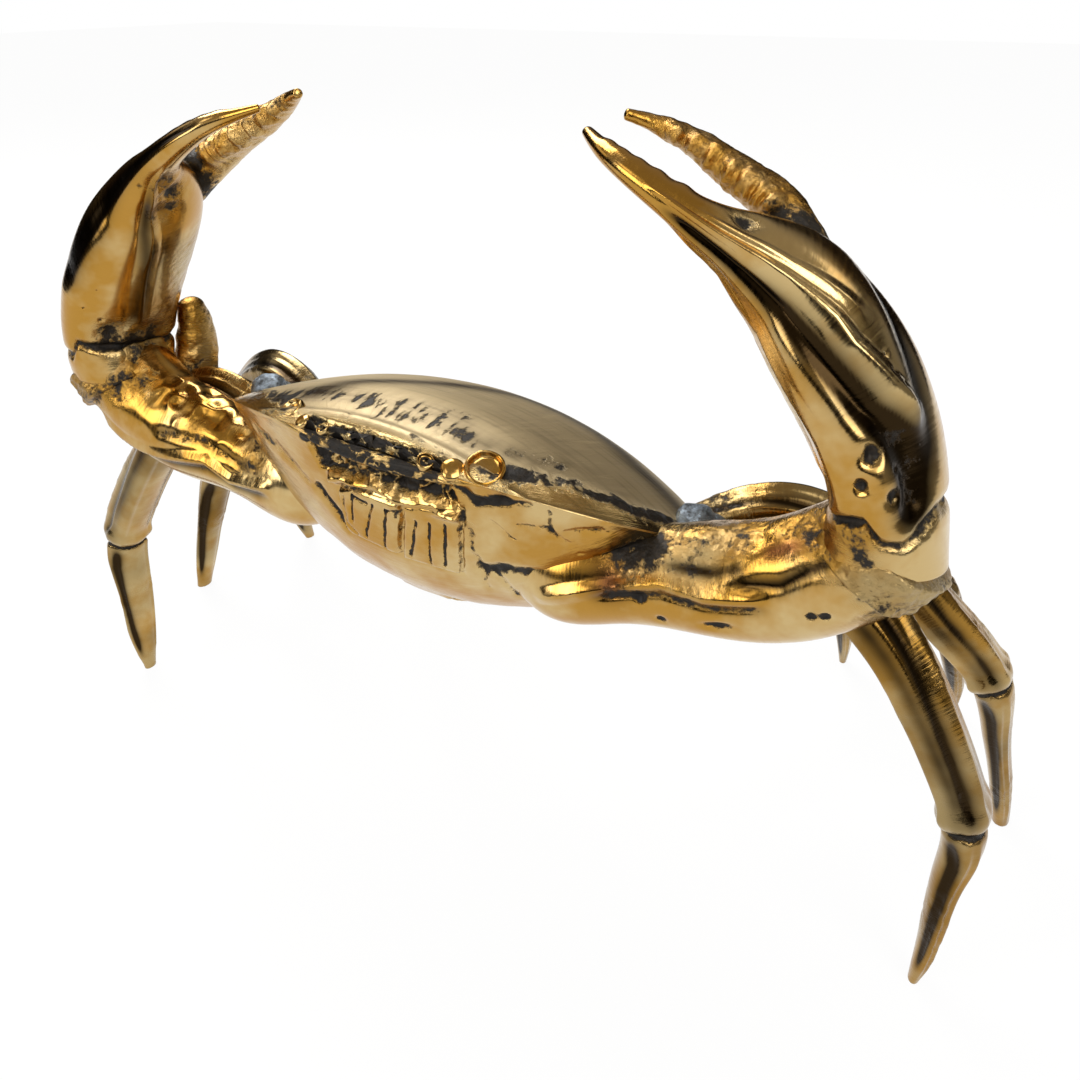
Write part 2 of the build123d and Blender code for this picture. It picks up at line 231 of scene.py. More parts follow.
def carried_tube(places, sizes, side, rows, columns, knots=None):
    """A tube with elliptic rings along the spline through the places.

    Each ring stands square to the path. Its height lies along the back direction made square to
    the path, and its thickness across that.
    """
    places = np.asarray(places, float)
    knots = np.arange(len(places)) if knots is None else np.asarray(knots, float)
    along = np.linspace(0, 1, rows)
    read_at = knots[0] + along * (knots[-1] - knots[0])
    path = smooth_through(knots, places, read_at)
    radii = smooth_through(knots, np.asarray(sizes, float) / 2, read_at)
    onward = np.gradient(path, axis=0)
    onward /= np.linalg.norm(onward, axis=1)[:, None]
    back = np.array([0.0, 1.0, 0.0]) - onward * onward[:, 1:2]
    back /= np.linalg.norm(back, axis=1)[:, None]
    inward = np.cross(onward, back) * side
    angle = np.arange(columns) * 360 / columns
    turn = np.radians(angle)
    cosine = np.cos(turn)[None, :, None]
    sine = np.sin(turn)[None, :, None]
    height = radii[:, None, 0:1]
    thickness = radii[:, None, 1:2]
    offset = back[:, None] * height * cosine + inward[:, None] * thickness * sine
    outward = back[:, None] * thickness * cosine + inward[:, None] * height * sine
    outward /= np.linalg.norm(outward, axis=2)[..., None]
    return Casting(path[:, None] + offset, outward, *spread_out(along, angle))


def rounded_ends(casting, start=0.5, end=0.5, rings=8):
    """Closes a casting with domes whose depth is a share of the mean radius of the end ring.

    Ring by ring, a dome's rings shrink as the cosine and move on as the sine of a quarter turn.
    """
    turn = np.linspace(0, np.pi / 2, rings + 1)[1:-1]
    names = ("points", "outward", "along", "angle", *MARKS)
    first, last = {}, {}
    for name in names:
        values = getattr(casting, name)
        first[name] = np.repeat(values[:1], rings - 1, 0)
        last[name] = np.repeat(values[-1:], rings - 1, 0)
    for part, row, neighbour, share in ((first, 0, 1, start), (last, -1, -2, end)):
        ring = casting.points[row]
        middle = ring.mean(0)
        onward = middle - casting.points[neighbour].mean(0)
        onward /= np.linalg.norm(onward)
        depth = np.linalg.norm(ring - middle, axis=1).mean() * share
        shrink = np.cos(turn)[:, None, None]
        moved = (np.sin(turn) * depth)[:, None, None] * onward
        part["points"] = middle + (ring - middle) * shrink + moved
    for name in names:
        head = first[name][::-1]
        setattr(casting, name, np.concatenate([head, getattr(casting, name), last[name]]))
    return casting


def surface_normals(points):
    """The outward direction at each grid point, from the cross product of its two slopes."""
    down = np.gradient(points, axis=0)
    wrapped = np.concatenate([points[:, -1:], points, points[:, :1]], axis=1)
    round_it = (wrapped[:, 2:] - wrapped[:, :-2]) / 2
    normal = np.cross(round_it, down)
    length = np.linalg.norm(normal, axis=2)[..., None]
    return normal / np.maximum(length, 1e-9)


def grid_quads(rows, columns):
    """Corner numbers of the faces between rings of points, each of which closes on itself."""
    row, column = np.meshgrid(np.arange(rows - 1), np.arange(columns), indexing="ij")
    here = row * columns
    onward = here + columns
    after = (column + 1) % columns
    corners = [here + column, here + after, onward + after, onward + column]
    return np.stack(corners, axis=-1).reshape(-1, 4)


def closed_faces(vertices, rows, columns):
    """Quads between the rings and a fan to the pole at each end, as corner numbers and counts.

    The last two vertices are the poles. The signed volume says whether the faces point outwards:
    if not, their corners turn round.
    """
    quads = grid_quads(rows, columns)
    column = np.arange(columns)
    after = (column + 1) % columns
    first_pole = rows * columns
    last_row = first_pole - columns
    head = np.stack([after, column, np.full(columns, first_pole)], axis=1)
    tail = np.stack([last_row + column, last_row + after, np.full(columns, first_pole + 1)], axis=1)
    middle = vertices.mean(0)
    first, second, third = (vertices[quads[:, corner]] - middle for corner in range(3))
    if np.einsum("ij,ij->i", first, np.cross(second, third)).sum() < 0:
        quads, head, tail = quads[:, ::-1], head[:, ::-1], tail[:, ::-1]
    corners = np.concatenate([quads.ravel(), head.ravel(), tail.ravel()])
    return corners, np.concatenate([np.full(len(quads), 4), np.full(2 * columns, 3)])


def brushed_chart(points):
    """Distances round and along the piece in millimetres, which the brush marks follow."""
    columns = points.shape[1]
    centre = points.mean(1)
    step = np.linalg.norm(np.diff(centre, axis=0), axis=1)
    down = np.concatenate([[0], np.cumsum(step)])
    girth = np.linalg.norm(points - centre[:, None], axis=2).mean(1).max() * 2 * np.pi
    across = np.arange(columns) / columns * girth
    flat = np.stack(np.meshgrid(across, down), axis=-1).reshape(-1, 2)
    return np.concatenate([flat, [[0, down[0]], [0, down[-1]]]])


def add_mesh(name, casting, material, node):
    """Makes the piece's mesh from a casting's rings, with its marks as attributes and a UV map."""
    points = casting.points
    poles = np.stack([points[0].mean(0), points[-1].mean(0)])
    vertices = np.concatenate([points.reshape(-1, 3), poles]) * MM
    corners, sizes = closed_faces(vertices, *points.shape[:2])
    mesh = bpy.data.meshes.new(name)
    mesh.vertices.add(len(vertices))
    mesh.vertices.foreach_set("co", vertices.astype(np.float32).ravel())
    mesh.loops.add(len(corners))
    mesh.loops.foreach_set("vertex_index", corners.astype(np.int32))
    mesh.polygons.add(len(sizes))
    starts = np.concatenate([[0], np.cumsum(sizes)[:-1]])
    mesh.polygons.foreach_set("loop_start", starts.astype(np.int32))
    mesh.polygons.foreach_set("use_smooth", np.ones(len(sizes), bool))
    mesh.update(calc_edges=True)
    mesh.validate()

    for mark in MARKS:
        values = getattr(casting, mark)
        ends = np.array([values[0].mean(), values[-1].mean()])
        layer = mesh.attributes.new(mark, "FLOAT", "POINT")
        whole = np.clip(np.concatenate([values.ravel(), ends]), 0, 1)
        layer.data.foreach_set("value", whole.astype(np.float32))
    uv = mesh.uv_layers.new(name="brushed")
    flat = brushed_chart(points)[corners] * MM
    uv.data.foreach_set("uv", flat.astype(np.float32).ravel())

    piece = bpy.data.objects.new(name, mesh)
    bpy.context.scene.collection.objects.link(piece)
    mesh.materials.append(material)
    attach(piece, "root")
    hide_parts(node)


# The body


def body_axes():
    """The body's own right-to-left, front-to-back and up directions, pitched and rolled."""
    pitch = np.radians(NOSE_UP)
    roll = np.radians(BODY_ROLL)
    back = np.array([0, np.cos(pitch), -np.sin(pitch)])
    up = np.array([0, np.sin(pitch), np.cos(pitch)])
    across = np.array([1.0, 0, 0])
    turned_across = across * np.cos(roll) - up * np.sin(roll)
    turned_up = across * np.sin(roll) + up * np.cos(roll)
    return turned_across, back, turned_up


ACROSS, BACK, UP = body_axes()


def body_point(side, width_share, length_share, depth_share):
    """A point in the body, from shares of its half width, length and depth below the rim."""
    along = (length_share - WIDEST_SHARE) * BODY_LENGTH
    place = BODY_CENTRE + ACROSS * (side * width_share * BODY_WIDTH / 2) + BACK * along
    return place - UP * (depth_share * BODY_DEPTH)


def body_chart(points):
    """Places in the body's own axes: across, back from its middle, and depth below the rim."""
    away = points - BODY_CENTRE
    return away @ ACROSS, away @ BACK, -(away @ UP)


def stroke(x, y, path, width):
    """A share from 1 on a line through flat places to 0 beside it, as a bell curve."""
    nearest = np.full(x.shape, np.inf)
    for (x0, y0), (x1, y1) in zip(path[:-1], path[1:]):
        run = (x1 - x0) ** 2 + (y1 - y0) ** 2
        share = np.clip(((x - x0) * (x1 - x0) + (y - y0) * (y1 - y0)) / run, 0, 1)
        off = (x - x0 - share * (x1 - x0)) ** 2 + (y - y0 - share * (y1 - y0)) ** 2
        nearest = np.minimum(nearest, off)
    return np.exp(-nearest / width**2)


def inside(x, y, outline, soft):
    """A share that is 1 inside a convex outline, drawn clockwise, and fades out over its edge."""
    depth = np.full(x.shape, np.inf)
    for (x0, y0), (x1, y1) in zip(outline, (*outline[1:], outline[0])):
        run = np.hypot(x1 - x0, y1 - y0)
        depth = np.minimum(depth, ((x1 - x0) * (y - y0) - (y1 - y0) * (x - x0)) / run)
    return fade(-soft, soft, depth)


def turned(middle, axis, profile, columns=72):
    """Rings about an axis through a middle, from a profile of radii and heights."""
    axis = np.asarray(axis, float) / np.linalg.norm(axis)
    first = np.cross(axis, (0.0, 0.0, 1.0))
    first /= np.linalg.norm(first)
    second = np.cross(axis, first)
    steps = np.linspace(0, len(profile) - 1, 8 * len(profile))
    rows = smooth_through(np.arange(len(profile)), profile, steps)
    turn = np.arange(columns) * 2 * np.pi / columns
    spoke = first * np.cos(turn)[:, None] + second * np.sin(turn)[:, None]
    points = middle + spoke * rows[:, 0][:, None, None] + axis * rows[:, 1][:, None, None]
    grids = spread_out(np.linspace(0, 1, len(rows)), np.degrees(turn))
    return Casting(points, np.repeat(spoke[None], len(rows), 0), *grids)


def body_shell(upwards, rows, arc_columns, chord_columns=24):
    """One half of the body as rings, each a circle's arc over the rim plane and its chord.

    The arc passes through both rim points and the top: with half width a and rise h its radius
    is (a*a + h*h) / 2h. angle holds the share across the arc, -1 to 1, and 2 on the chord.
    """
    shares = np.array(BODY_SHARES)
    along = np.linspace(0, 1, rows) ** 1.15
    columns = smooth_through(shares[:, 0], shares[:, 1:], along)
    reach = columns[:, 0:1] * BODY_WIDTH / 2
    rise = columns[:, 1:2] * DOME_HEIGHT if upwards else columns[:, 2:3] * BODY_DEPTH
    radius = (reach**2 + rise**2) / (2 * rise)
    widest_turn = np.arcsin(np.clip(reach / radius, 0, 1))
    share = np.linspace(-1, 1, arc_columns)[None]
    turn = share * widest_turn
    arc_x = radius * np.sin(turn)
    arc_z = rise - radius + radius * np.cos(turn)
    chord_share = np.linspace(1, -1, chord_columns + 2)[None, 1:-1]
    chord_x = reach * chord_share
    chord_z = np.zeros_like(chord_x) - 0.02
    ring_x = np.concatenate([arc_x, chord_x], axis=1)
    ring_z = np.concatenate([arc_z, chord_z], axis=1) * (1 if upwards else -1)
    place = BODY_CENTRE + BACK * ((along - WIDEST_SHARE) * BODY_LENGTH)[:, None]
    points = place[:, None] + ACROSS * ring_x[..., None] + UP * ring_z[..., None]
    angle = np.concatenate([share[0], np.full(chord_columns, 2.0)])
    grid_along, grid_angle = spread_out(along, angle)
    shell = Casting(points, np.zeros_like(points), grid_along, grid_angle)
    shell.outward = surface_normals(points)
    middle = points.mean((0, 1))
    if ((points - middle) * shell.outward).sum() < 0:
        shell.outward = -shell.outward
    # Nothing rises on the chord or right at the rim, so that the two halves still meet
    shell.free = np.where(grid_angle > 1.5, 0, fade(0, 0.04, 1 - np.abs(grid_angle)))
    shell.free = shell.free * fade(0, 0.01, grid_along) * (1 - fade(0.97, 1, grid_along))
    return shell


# Limbs

ARM_ROOT = (0.50, 0.36, 0.46)
ARM_SAG = 4.5
ARM_SIZE = np.array([17.0, 18.0])
# Along, sag, and depth and height in arm sizes
ARM_SHARES = (
    (-0.08, 0, 0.60, 0.60),
    (0, 0.10, 0.88, 0.88),
    (0.28, 0.50, 0.94, 0.92),
    (0.55, 0.85, 1, 1),
    (0.79, 0.95, 1.03, 1.06),
    (1, 0, 1.13, 1),
)
CLAW_REACH = 46.0
CLAW_RISE = 51.0
FINGER_LEAD = 6.0
PALM_SIZE = np.array([24.5, 16.0])
# Inward reach, rise, forward lead, height and thickness, past the wrist
HAND_SHARES = (
    (0.015, 0.17, -0.15, 0.96, 0.93),
    (0.10, 0.36, -0.25, 1.03, 0.94),
    (0.23, 0.53, -0.25, 1.01, 0.92),
    (0.39, 0.685, 0, 0.78, 0.74),
    (0.575, 0.805, 0.83, 0.34, 0.38),
    (0.75, 0.895, 1.05, 0.20, 0.23),
    (0.88, 0.95, 0.80, 0.13, 0.16),
    (0.99, 0.985, 0.05, 0.06, 0.08),
)
FINGER_SIZE = 8.0
# Inward reach, rise, place behind the wrist in palm heights, height and thickness
FINGER_SHARES = (
    (0.33, 0.65, 0.30, 0.95, 0.90),
    (0.49, 0.79, 0.52, 0.95, 0.78),
    (0.59, 0.845, 0.56, 0.85, 0.66),
    (0.71, 0.902, 0.58, 0.72, 0.54),
    (0.84, 0.962, 0.55, 0.52, 0.38),
    (0.97, 1.006, 0.42, 0.20, 0.18),
)
LOBE_LENGTH = 17.0
LOBE_SIZE = np.array([10.0, 8.0])
# Outward from the wrist, back and up in lobe lengths, then width and thickness
LOBE_SHARES = (
    (-0.27, 0.70, -0.40, 1, 1),
    (-0.30, 0.87, 0.17, 0.90, 0.85),
    (-0.31, 0.88, 0.56, 0.60, 0.62),
)
BRAZE_THICKNESS = 3.0

FOOT_SPREAD = 220.0
STANCE_LENGTH = 86.0
LEG_SIZE = np.array([10.0, 9.6])
LEG_ARCH = 21.0
TIP_BOW = 1.5
RIM_HEIGHT = 76.0
# Root on the body, knee, foot, tip bow, width, thickness and bluntness
LEG_SHARES = {
    "front": ((0.76, 0.53, 0.30), (0.86, -0.087, 0.505), (0.866, -0.125), 0.3, 1.10, 0.82, 1),
    "second": ((0.70, 0.68, 0.34), (0.866, 0.32, 0.54), (0.970, 0.415), 0.4, 0.98, 0.84, 1.7),
    "third": ((0.57, 0.80, 0.34), (0.782, 0.55, 0.54), (0.877, 0.75), 1, 0.92, 0.84, 1.2),
    "rear": ((0.32, 0.90, 0.30), (0.545, 0.72, 0.485), (0.60, 0.86), 0.7, 0.88, 0.83, 1),
}
# Arch and where it peaks, on the right and on the left
LEG_ARCHES = {
    "front": ((1.10, 0.38), (1.12, 0.54)),
    "second": ((1.12, 0.33), (1, 0.33)),
    "third": ((0.40, 0.4), (0.40, 0.4)),
    "rear": ((0.15, 0.4), (0.15, 0.4)),
}
# Degrees by which each knee and foot is swung forward, on the right and on the left
LEG_SWING = {
    "front": ((0, 0), (0, 0)),
    "second": ((2, 9), (0, 0)),
    "third": ((4, 4), (-3, -3)),
    "rear": ((0, 0), (0, 0)),
}
UPPER_SHARES = (
    (0, 0.72, 0.72),
    (0.2, 0.92, 0.92),
    (0.42, 1, 1),
    (0.66, 1.04, 0.98),
    (0.85, 1.06, 0.94),
    (1, 0.94, 0.90),
)
TIP_SHARES = (
    (0, 0, 0.84, 0.80),
    (0.32, 0.8, 0.80, 0.68),
    (0.68, 1, 0.66, 0.52),
    (1, 0, 0.28, 0.24),
)
# The design's middle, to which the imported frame's own origin is moved
ORIGIN_SHIFT = np.array([1.92, -22.57, 0.0])


def wrist_place(side):
    """Middle of the joint between an arm and its hand."""
    return WRIST * (side, 1, 1) + ORIGIN_SHIFT


def arm_places(side):
    """Places and ring sizes of the arm, from inside the body to the wrist."""
    root = body_point(side, *ARM_ROOT)
    shares = np.array(ARM_SHARES)
    places = root + (wrist_place(side) - root) * shares[:, :1]
    places[:, 2] -= ARM_SAG * shares[:, 1]
    return places, shares[:, 2:] * ARM_SIZE


def hand_places(side):
    """Places and ring sizes of the palm and its fixed finger, from the wrist on."""
    shares = np.array(HAND_SHARES)
    shift = shares[:, :3] * (-side * CLAW_REACH, CLAW_RISE, -FINGER_LEAD)
    places = wrist_place(side) + shift[:, (0, 2, 1)]
    sizes = shares[:, 3:] * PALM_SIZE
    arm_end = arm_places(side)[1][-1]
    return np.vstack([wrist_place(side), places]), np.vstack([arm_end, sizes])


def finger_places(side):
    """Places and ring sizes of the toothed finger."""
    shares = np.array(FINGER_SHARES)
    shift = shares[:, :3] * (-side * CLAW_REACH, CLAW_RISE, PALM_SIZE[0])
    return wrist_place(side) + shift[:, (0, 2, 1)], shares[:, 3:] * FINGER_SIZE


def lobe_places(side):
    """Places and ring sizes of the knob behind the wrist."""
    shares = np.array(LOBE_SHARES)
    shift = shares[:, :3] * (side * LOBE_LENGTH, LOBE_LENGTH, LOBE_LENGTH)
    return wrist_place(side) + shift, shares[:, 3:] * LOBE_SIZE


def swung(place, root, degrees):
    """A place turned about the upright line through the root."""
    turn = np.radians(degrees)
    out, back, height = place - root
    cosine, sine = np.cos(turn), np.sin(turn)
    return root + (out * cosine - back * sine, out * sine + back * cosine, height)


def leg_places(name, side):
    """Places and ring sizes of a leg's upper piece, and of its tip from the knee on.

    The upper piece rises as a squared sine up to its peak and falls as a parabola to the knee.
    """
    root_share, knee_share, foot_share, bow, wide, thick, blunt = LEG_SHARES[name]
    arch, peak = LEG_ARCHES[name][0 if side < 0 else 1]
    knee_swing, foot_swing = LEG_SWING[name][0 if side < 0 else 1]
    root = body_point(side, *root_share)
    spread = FOOT_SPREAD / 2
    reach = np.array([side * spread, STANCE_LENGTH, RIM_HEIGHT])
    knee = knee_share * reach
    foot = np.array([*foot_share, 0]) * reach
    knee = swung(knee + ORIGIN_SHIFT, root, -side * knee_swing)
    foot = swung(foot + ORIGIN_SHIFT, root, -side * foot_swing)
    upper = np.array(UPPER_SHARES)
    along = upper[:, 0]
    before = np.sin(np.pi / 2 * np.minimum(along / peak, 1)) ** 2
    after = 1 - ((along - peak) / (1 - peak)) ** 2
    upper_places = root + (knee - root) * along[:, None]
    upper_places[:, 2] += LEG_ARCH * arch * np.where(along < peak, before, after)
    tip = np.array(TIP_SHARES)
    tip_places = knee + (foot - knee) * tip[:, :1]
    tip_places[:, 0] += side * TIP_BOW * bow * tip[:, 1]
    size = LEG_SIZE * (wide, thick)
    tip_sizes = tip[:, 2:] * size
    tip_sizes[-1] *= blunt
    return upper_places, upper[:, 1:] * size, tip_places, tip_sizes


def cut_rows(casting, first, last):
    """A casting of the rings from one place along to another, whose along starts afresh."""
    kept = (casting.along[:, 0] >= first) & (casting.along[:, 0] <= last)
    along = casting.along[kept]
    along = (along - along[0, 0]) / np.ptp(along)
    piece = Casting(casting.points[kept], casting.outward[kept], along, casting.angle[kept])
    for mark in MARKS:
        setattr(piece, mark, getattr(casting, mark)[kept])
    return piece


def wrist_frame(side):
    """Middle and onward direction of the wrist's joint."""
    arm, _ = arm_places(side)
    hand, _ = hand_places(side)
    onward = hand[1] - arm[-2]
    return arm[-1], onward / np.linalg.norm(onward)


def blob(middle, radius, rows=60, columns=72):
    """A ball of rings from its lower pole to its upper one, ready to be shaped into a bead."""
    lift = np.linspace(-np.pi / 2, np.pi / 2, rows + 2)[1:-1]
    turn = np.arange(columns) * 2 * np.pi / columns
    level = np.cos(lift)[:, None]
    height = np.repeat(np.sin(lift)[:, None], columns, 1)
    outward = np.stack([level * np.cos(turn), level * np.sin(turn), height], axis=-1)
    grids = spread_out(np.linspace(0, 1, rows), np.degrees(turn))
    return Casting(middle + outward * radius, outward, *grids)


# Materials


def linear(colour):
    """An sRGB hex colour, such as 'D4A556', as the linear colour that Blender works in."""
    levels = np.array([int(colour[i : i + 2], 16) for i in (0, 2, 4)]) / 255
    curve = np.where(levels <= 0.04045, levels / 12.92, ((levels + 0.055) / 1.055) ** 2.4)
    return (*curve.tolist(), 1.0)


def add_node(tree, kind, inputs=None, **settings):
    """Adds a shader node, sets its properties, and fills or links its inputs by name or number."""
    made = tree.nodes.new(kind)
    for name, value in settings.items():
        setattr(made, name, value)
    for name, value in (inputs or {}).items():
        if isinstance(value, bpy.types.NodeSocket):
            tree.links.new(value, made.inputs[name])
        else:
            made.inputs[name].default_value = value
    return made


def mixed(tree, share, first, second, kind="RGBA"):
    """A blend of two colours or numbers, from the first at share 0 to the second at 1."""
    inputs = {"Factor": share, "A": first, "B": second}
    return add_node(tree, "ShaderNodeMix", inputs, data_type=kind).outputs["Result"]


def noise(tree, place, scale, detail, roughness):
    """Cloudy values whose lumps come about `scale` times in each unit of the place."""
    inputs = {"Vector": place, "Scale": scale, "Detail": detail, "Roughness": roughness}
    return add_node(tree, "ShaderNodeTexNoise", inputs).outputs["Fac"]


def worked_out(tree, operation, *values, **settings):
    """The result of a sum, a product or the like of sockets and numbers."""
    inputs = dict(enumerate(values))
    return add_node(tree, "ShaderNodeMath", inputs, operation=operation, **settings).outputs[0]


def carried_over(tree, value, low, high, first=0, last=1, **settings):
    """A value carried from the range low to high into the range first to last."""
    inputs = {"Value": value, "From Min": low, "From Max": high, "To Min": first, "To Max": last}
    return add_node(tree, "ShaderNodeMapRange", inputs, **settings).outputs["Result"]


def bumped(tree, height, strength, distance, under=None, **settings):
    """The normal of a bump, on top of another normal where one is given."""
    inputs = {"Height": height, "Strength": strength, "Distance": distance}
    if under is not None:
        inputs["Normal"] = under
    return add_node(tree, "ShaderNodeBump", inputs, **settings).outputs["Normal"]


def seen_by(tree, *rays):
    """1 for light that is seen along one of these kinds of ray, and 0 for all other light."""
    path = add_node(tree, "ShaderNodeLightPath")
    sight = path.outputs[rays[0]]
    for ray in rays[1:]:
        sight = worked_out(tree, "MAXIMUM", sight, path.outputs[ray])
    return sight


def new_material(name):
    """An empty node material and its tree."""
    material = bpy.data.materials.new(name)
    material.use_nodes = True
    material.node_tree.nodes.clear()
    return material, material.node_tree


def set_surface(tree, colour, metallic, roughness, normal):
    """Gives the material its surface."""
    inputs = {"Base Color": colour, "Metallic": metallic, "Roughness": roughness, "Normal": normal}
    surface = add_node(tree, "ShaderNodeBsdfPrincipled", inputs).outputs[0]
    add_node(tree, "ShaderNodeOutputMaterial", {"Surface": surface})


# Patterns to the metre: gold clouds of 16 mm, blots of 4 mm, crumbs of 1 mm, stains of 1.5 mm
CLOUDS = 62
BLOTS = 260
CRUMBS = 1000
STAINS = 650
# Brush marks to the metre: 8 mm long and 0.5 mm apart
BRUSH_LENGTHS = 125
BRUSH_WIDTHS = 2000


def cast_brass(name, colours, roughness, hatch, hatch_turned=False):
    """Yellow brass cast in sand, filed, brushed and polished, with black patina in its hollows.

    The polish shows the room like a warm mirror, broken by brush marks and clouded with deeper
    gold. The patina attribute turns it to matt black oxide, the tarnish one to brown, the
    copper one to red, the coarse one to the skin that the sand left and the bright one to smooth
    polish. The brown is tarnish in most places, and painted shade and painted dark reflections in
    the hands' long grooves, along the left hand's outer edge and along the shell's crest.
    """
    # The third colour is the brown of tarnish, also used as painted shade and painted dark
    # reflections
    pale, golden, tarnished, copper, black, polish = colours
    material, tree = new_material(name)
    place = add_node(tree, "ShaderNodeTexCoord").outputs["Object"]
    flat = add_node(tree, "ShaderNodeUVMap", uv_map="brushed").outputs["UV"]
    marks = {}
    for mark in MARKS:
        marks[mark] = add_node(tree, "ShaderNodeAttribute", attribute_name=mark).outputs["Fac"]
    clouds = noise(tree, place, CLOUDS, 4, 0.6)
    blots = noise(tree, place, BLOTS, 3, 0.6)
    crumbs = noise(tree, place, CRUMBS, 4, 0.7)
    brush_scale = (BRUSH_LENGTHS, BRUSH_WIDTHS, 1)
    if hatch_turned:
        brush_scale = (BRUSH_WIDTHS, BRUSH_LENGTHS, 1)
    brush_at = add_node(tree, "ShaderNodeMapping", {"Vector": flat, "Scale": brush_scale})
    brush = noise(tree, brush_at.outputs["Vector"], 1, 3, 0.6)

    # Blots and crumbs break the patina's edge
    edge = worked_out(tree, "MULTIPLY_ADD", blots, 1.0, -0.97)
    edge = worked_out(tree, "MULTIPLY_ADD", crumbs, 0.95, edge)
    deep = worked_out(tree, "ADD", marks["patina"], edge)
    oxide = carried_over(tree, deep, 0.36, 0.60, interpolation_type="SMOOTHSTEP")

    metal = mixed(tree, carried_over(tree, clouds, 0.38, 0.58), pale, golden)
    metal = mixed(tree, marks["bright"], metal, polish)
    # The brown from the tarnish mark: real tarnish, and painted shade and painted dark reflections
    # where it darkens the hands' grooves and the shell's crest
    brown = worked_out(tree, "MULTIPLY", marks["tarnish"], 1.0, use_clamp=True)
    metal = mixed(tree, brown, metal, tarnished)
    metal = mixed(tree, marks["copper"], metal, copper)
    # The oxide is rubbed brown on its crumbs
    rubbed = carried_over(tree, crumbs, 0.42, 0.68, 0, 0.55)
    colour = mixed(tree, oxide, metal, mixed(tree, rubbed, black, tarnished))

    smooth = carried_over(tree, brush, 0.3, 0.7, roughness, roughness + 0.12)
    smooth = mixed(tree, marks["bright"], smooth, 0.15, "FLOAT")
    sandy = worked_out(tree, "MULTIPLY_ADD", marks["coarse"], 0.16, smooth)
    rough = mixed(tree, oxide, sandy, 0.48, "FLOAT")
    shine = worked_out(tree, "MULTIPLY_ADD", oxide, -0.5, 1)

    # Bumps in metres: scratches, sand, and the pits that the oxide left
    scratched = bumped(tree, brush, hatch, 0.00006)
    sand = worked_out(tree, "MULTIPLY", crumbs, marks["coarse"])
    sanded = bumped(tree, sand, 0.55, 0.0006, scratched)
    pitted = bumped(tree, oxide, 0.7, 0.0003, sanded, invert=True)
    set_surface(tree, colour, shine, rough, pitted)
    return material


def silver_solder(name, bright, dull):
    """Silver brazing alloy, melted on with a torch: blue-grey, lumpy and half matt."""
    material, tree = new_material(name)
    place = add_node(tree, "ShaderNodeTexCoord").outputs["Object"]
    stains = noise(tree, place, STAINS, 5, 0.7)
    share = carried_over(tree, stains, 0.38, 0.62)
    rough = carried_over(tree, share, 0, 1, 0.26, 0.6)
    lumpy = bumped(tree, stains, 0.8, 0.0006)
    set_surface(tree, mixed(tree, share, bright, dull), 0.9, rough, lumpy)
    return material


# Settings that a user would change


def length_setting(name, text, default):
    """A length in metres, up to 10 mm, shown in the scene's own unit."""
    return FloatProperty(
        name=name,
        description=text,
        default=default,
        min=0,
        max=0.01,
        subtype="DISTANCE",
        unit="LENGTH",
        precision=5,
    )


def share_setting(name, text, default):
    """A share from 0 to 1."""
    return FloatProperty(
        name=name, description=text, default=default, min=0, max=1, subtype="FACTOR"
    )


def colour_setting(name, text, default):
    """A colour, given as an sRGB hex value."""
    return FloatVectorProperty(
        name=name, description=text, default=linear(default), size=4, min=0, max=1, subtype="COLOR"
    )


class CrabShape(bpy.types.PropertyGroup):
    """Sizes of the relief on the castings."""

    tooth_height: length_setting("Tooth height", "How far the finger's teeth stand out", 0.0019)
    hammer_depth: length_setting("Hammer depth", "Depth of the dents on the arms", 0.0005)
    hammer_size: length_setting("Hammer size", "Width of the dents on the arms", 0.0032)
    casting_depth: length_setting("Casting skin", "Height of the sand's marks", 0.0005)
    braze_lump: length_setting("Braze lumps", "Height of the lumps on the brazed rings", 0.0011)


class CrabFinish(bpy.types.PropertyGroup):
    """Colours and polish of the metals."""

    pale_brass: colour_setting("Pale brass", "Colour of the freshly polished brass", "CBB07A")
    golden_brass: colour_setting("Golden brass", "Colour of the clouds in the polish", "B5883C")
    satin_brass: colour_setting("Satin brass", "Colour of the brushed shell", "C9B690")
    # Brown of tarnish, also used as painted shade and painted dark reflections in the hands'
    # grooves and on the shell's crest
    brown_brass: colour_setting("Tarnished brass", "Brass where it is brown", "2F2313")
    copper: colour_setting("Copper", "Red streak where zinc has burnt out of the brass", "96603C")
    patina: colour_setting("Patina", "Black oxide in the hollows", "15110C")
    solder: colour_setting("Solder", "Bright solder", "8E9AA6")
    dull_solder: colour_setting("Dull solder", "Solder under its flux stains", "46484A")
    polished_roughness: share_setting("Polished roughness", "Roughness of the polished brass", 0.13)
    satin_roughness: share_setting("Satin roughness", "Roughness of the brushed shell", 0.46)


class CrabStudio(bpy.types.PropertyGroup):
    """Camera, lamps and floor."""

    camera_place: FloatVectorProperty(
        name="Camera",
        description="Where the camera stands",
        default=(0.0809, -0.1496, 0.153),
        subtype="TRANSLATION",
        unit="LENGTH",
    )
    camera_azimuth: FloatProperty(
        name="Azimuth", description="Turn from the back direction, in degrees", default=27.1
    )
    camera_elevation: FloatProperty(
        name="Elevation", description="How steeply the camera looks down, in degrees", default=32.0
    )
    lens: FloatProperty(
        name="Lens", description="Focal length for a 36 mm sensor", default=30.0, unit="CAMERA"
    )
    floor: colour_setting("Floor", "Colour of the pale floor", "EDEBE7")
    wall: colour_setting("Wall", "Colour of the dark wall that the metal mirrors", "1C1611")
    ceiling: colour_setting("Ceiling", "Colour of the ceiling that the metal mirrors", "A39A8C")


# Builders


class CrabBuilder:
    """Shared by the operators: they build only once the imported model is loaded."""

    bl_options = {"REGISTER", "UNDO"}

    @classmethod
    def poll(cls, context):
        """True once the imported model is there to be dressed."""
        return bool(frame["nodes"])


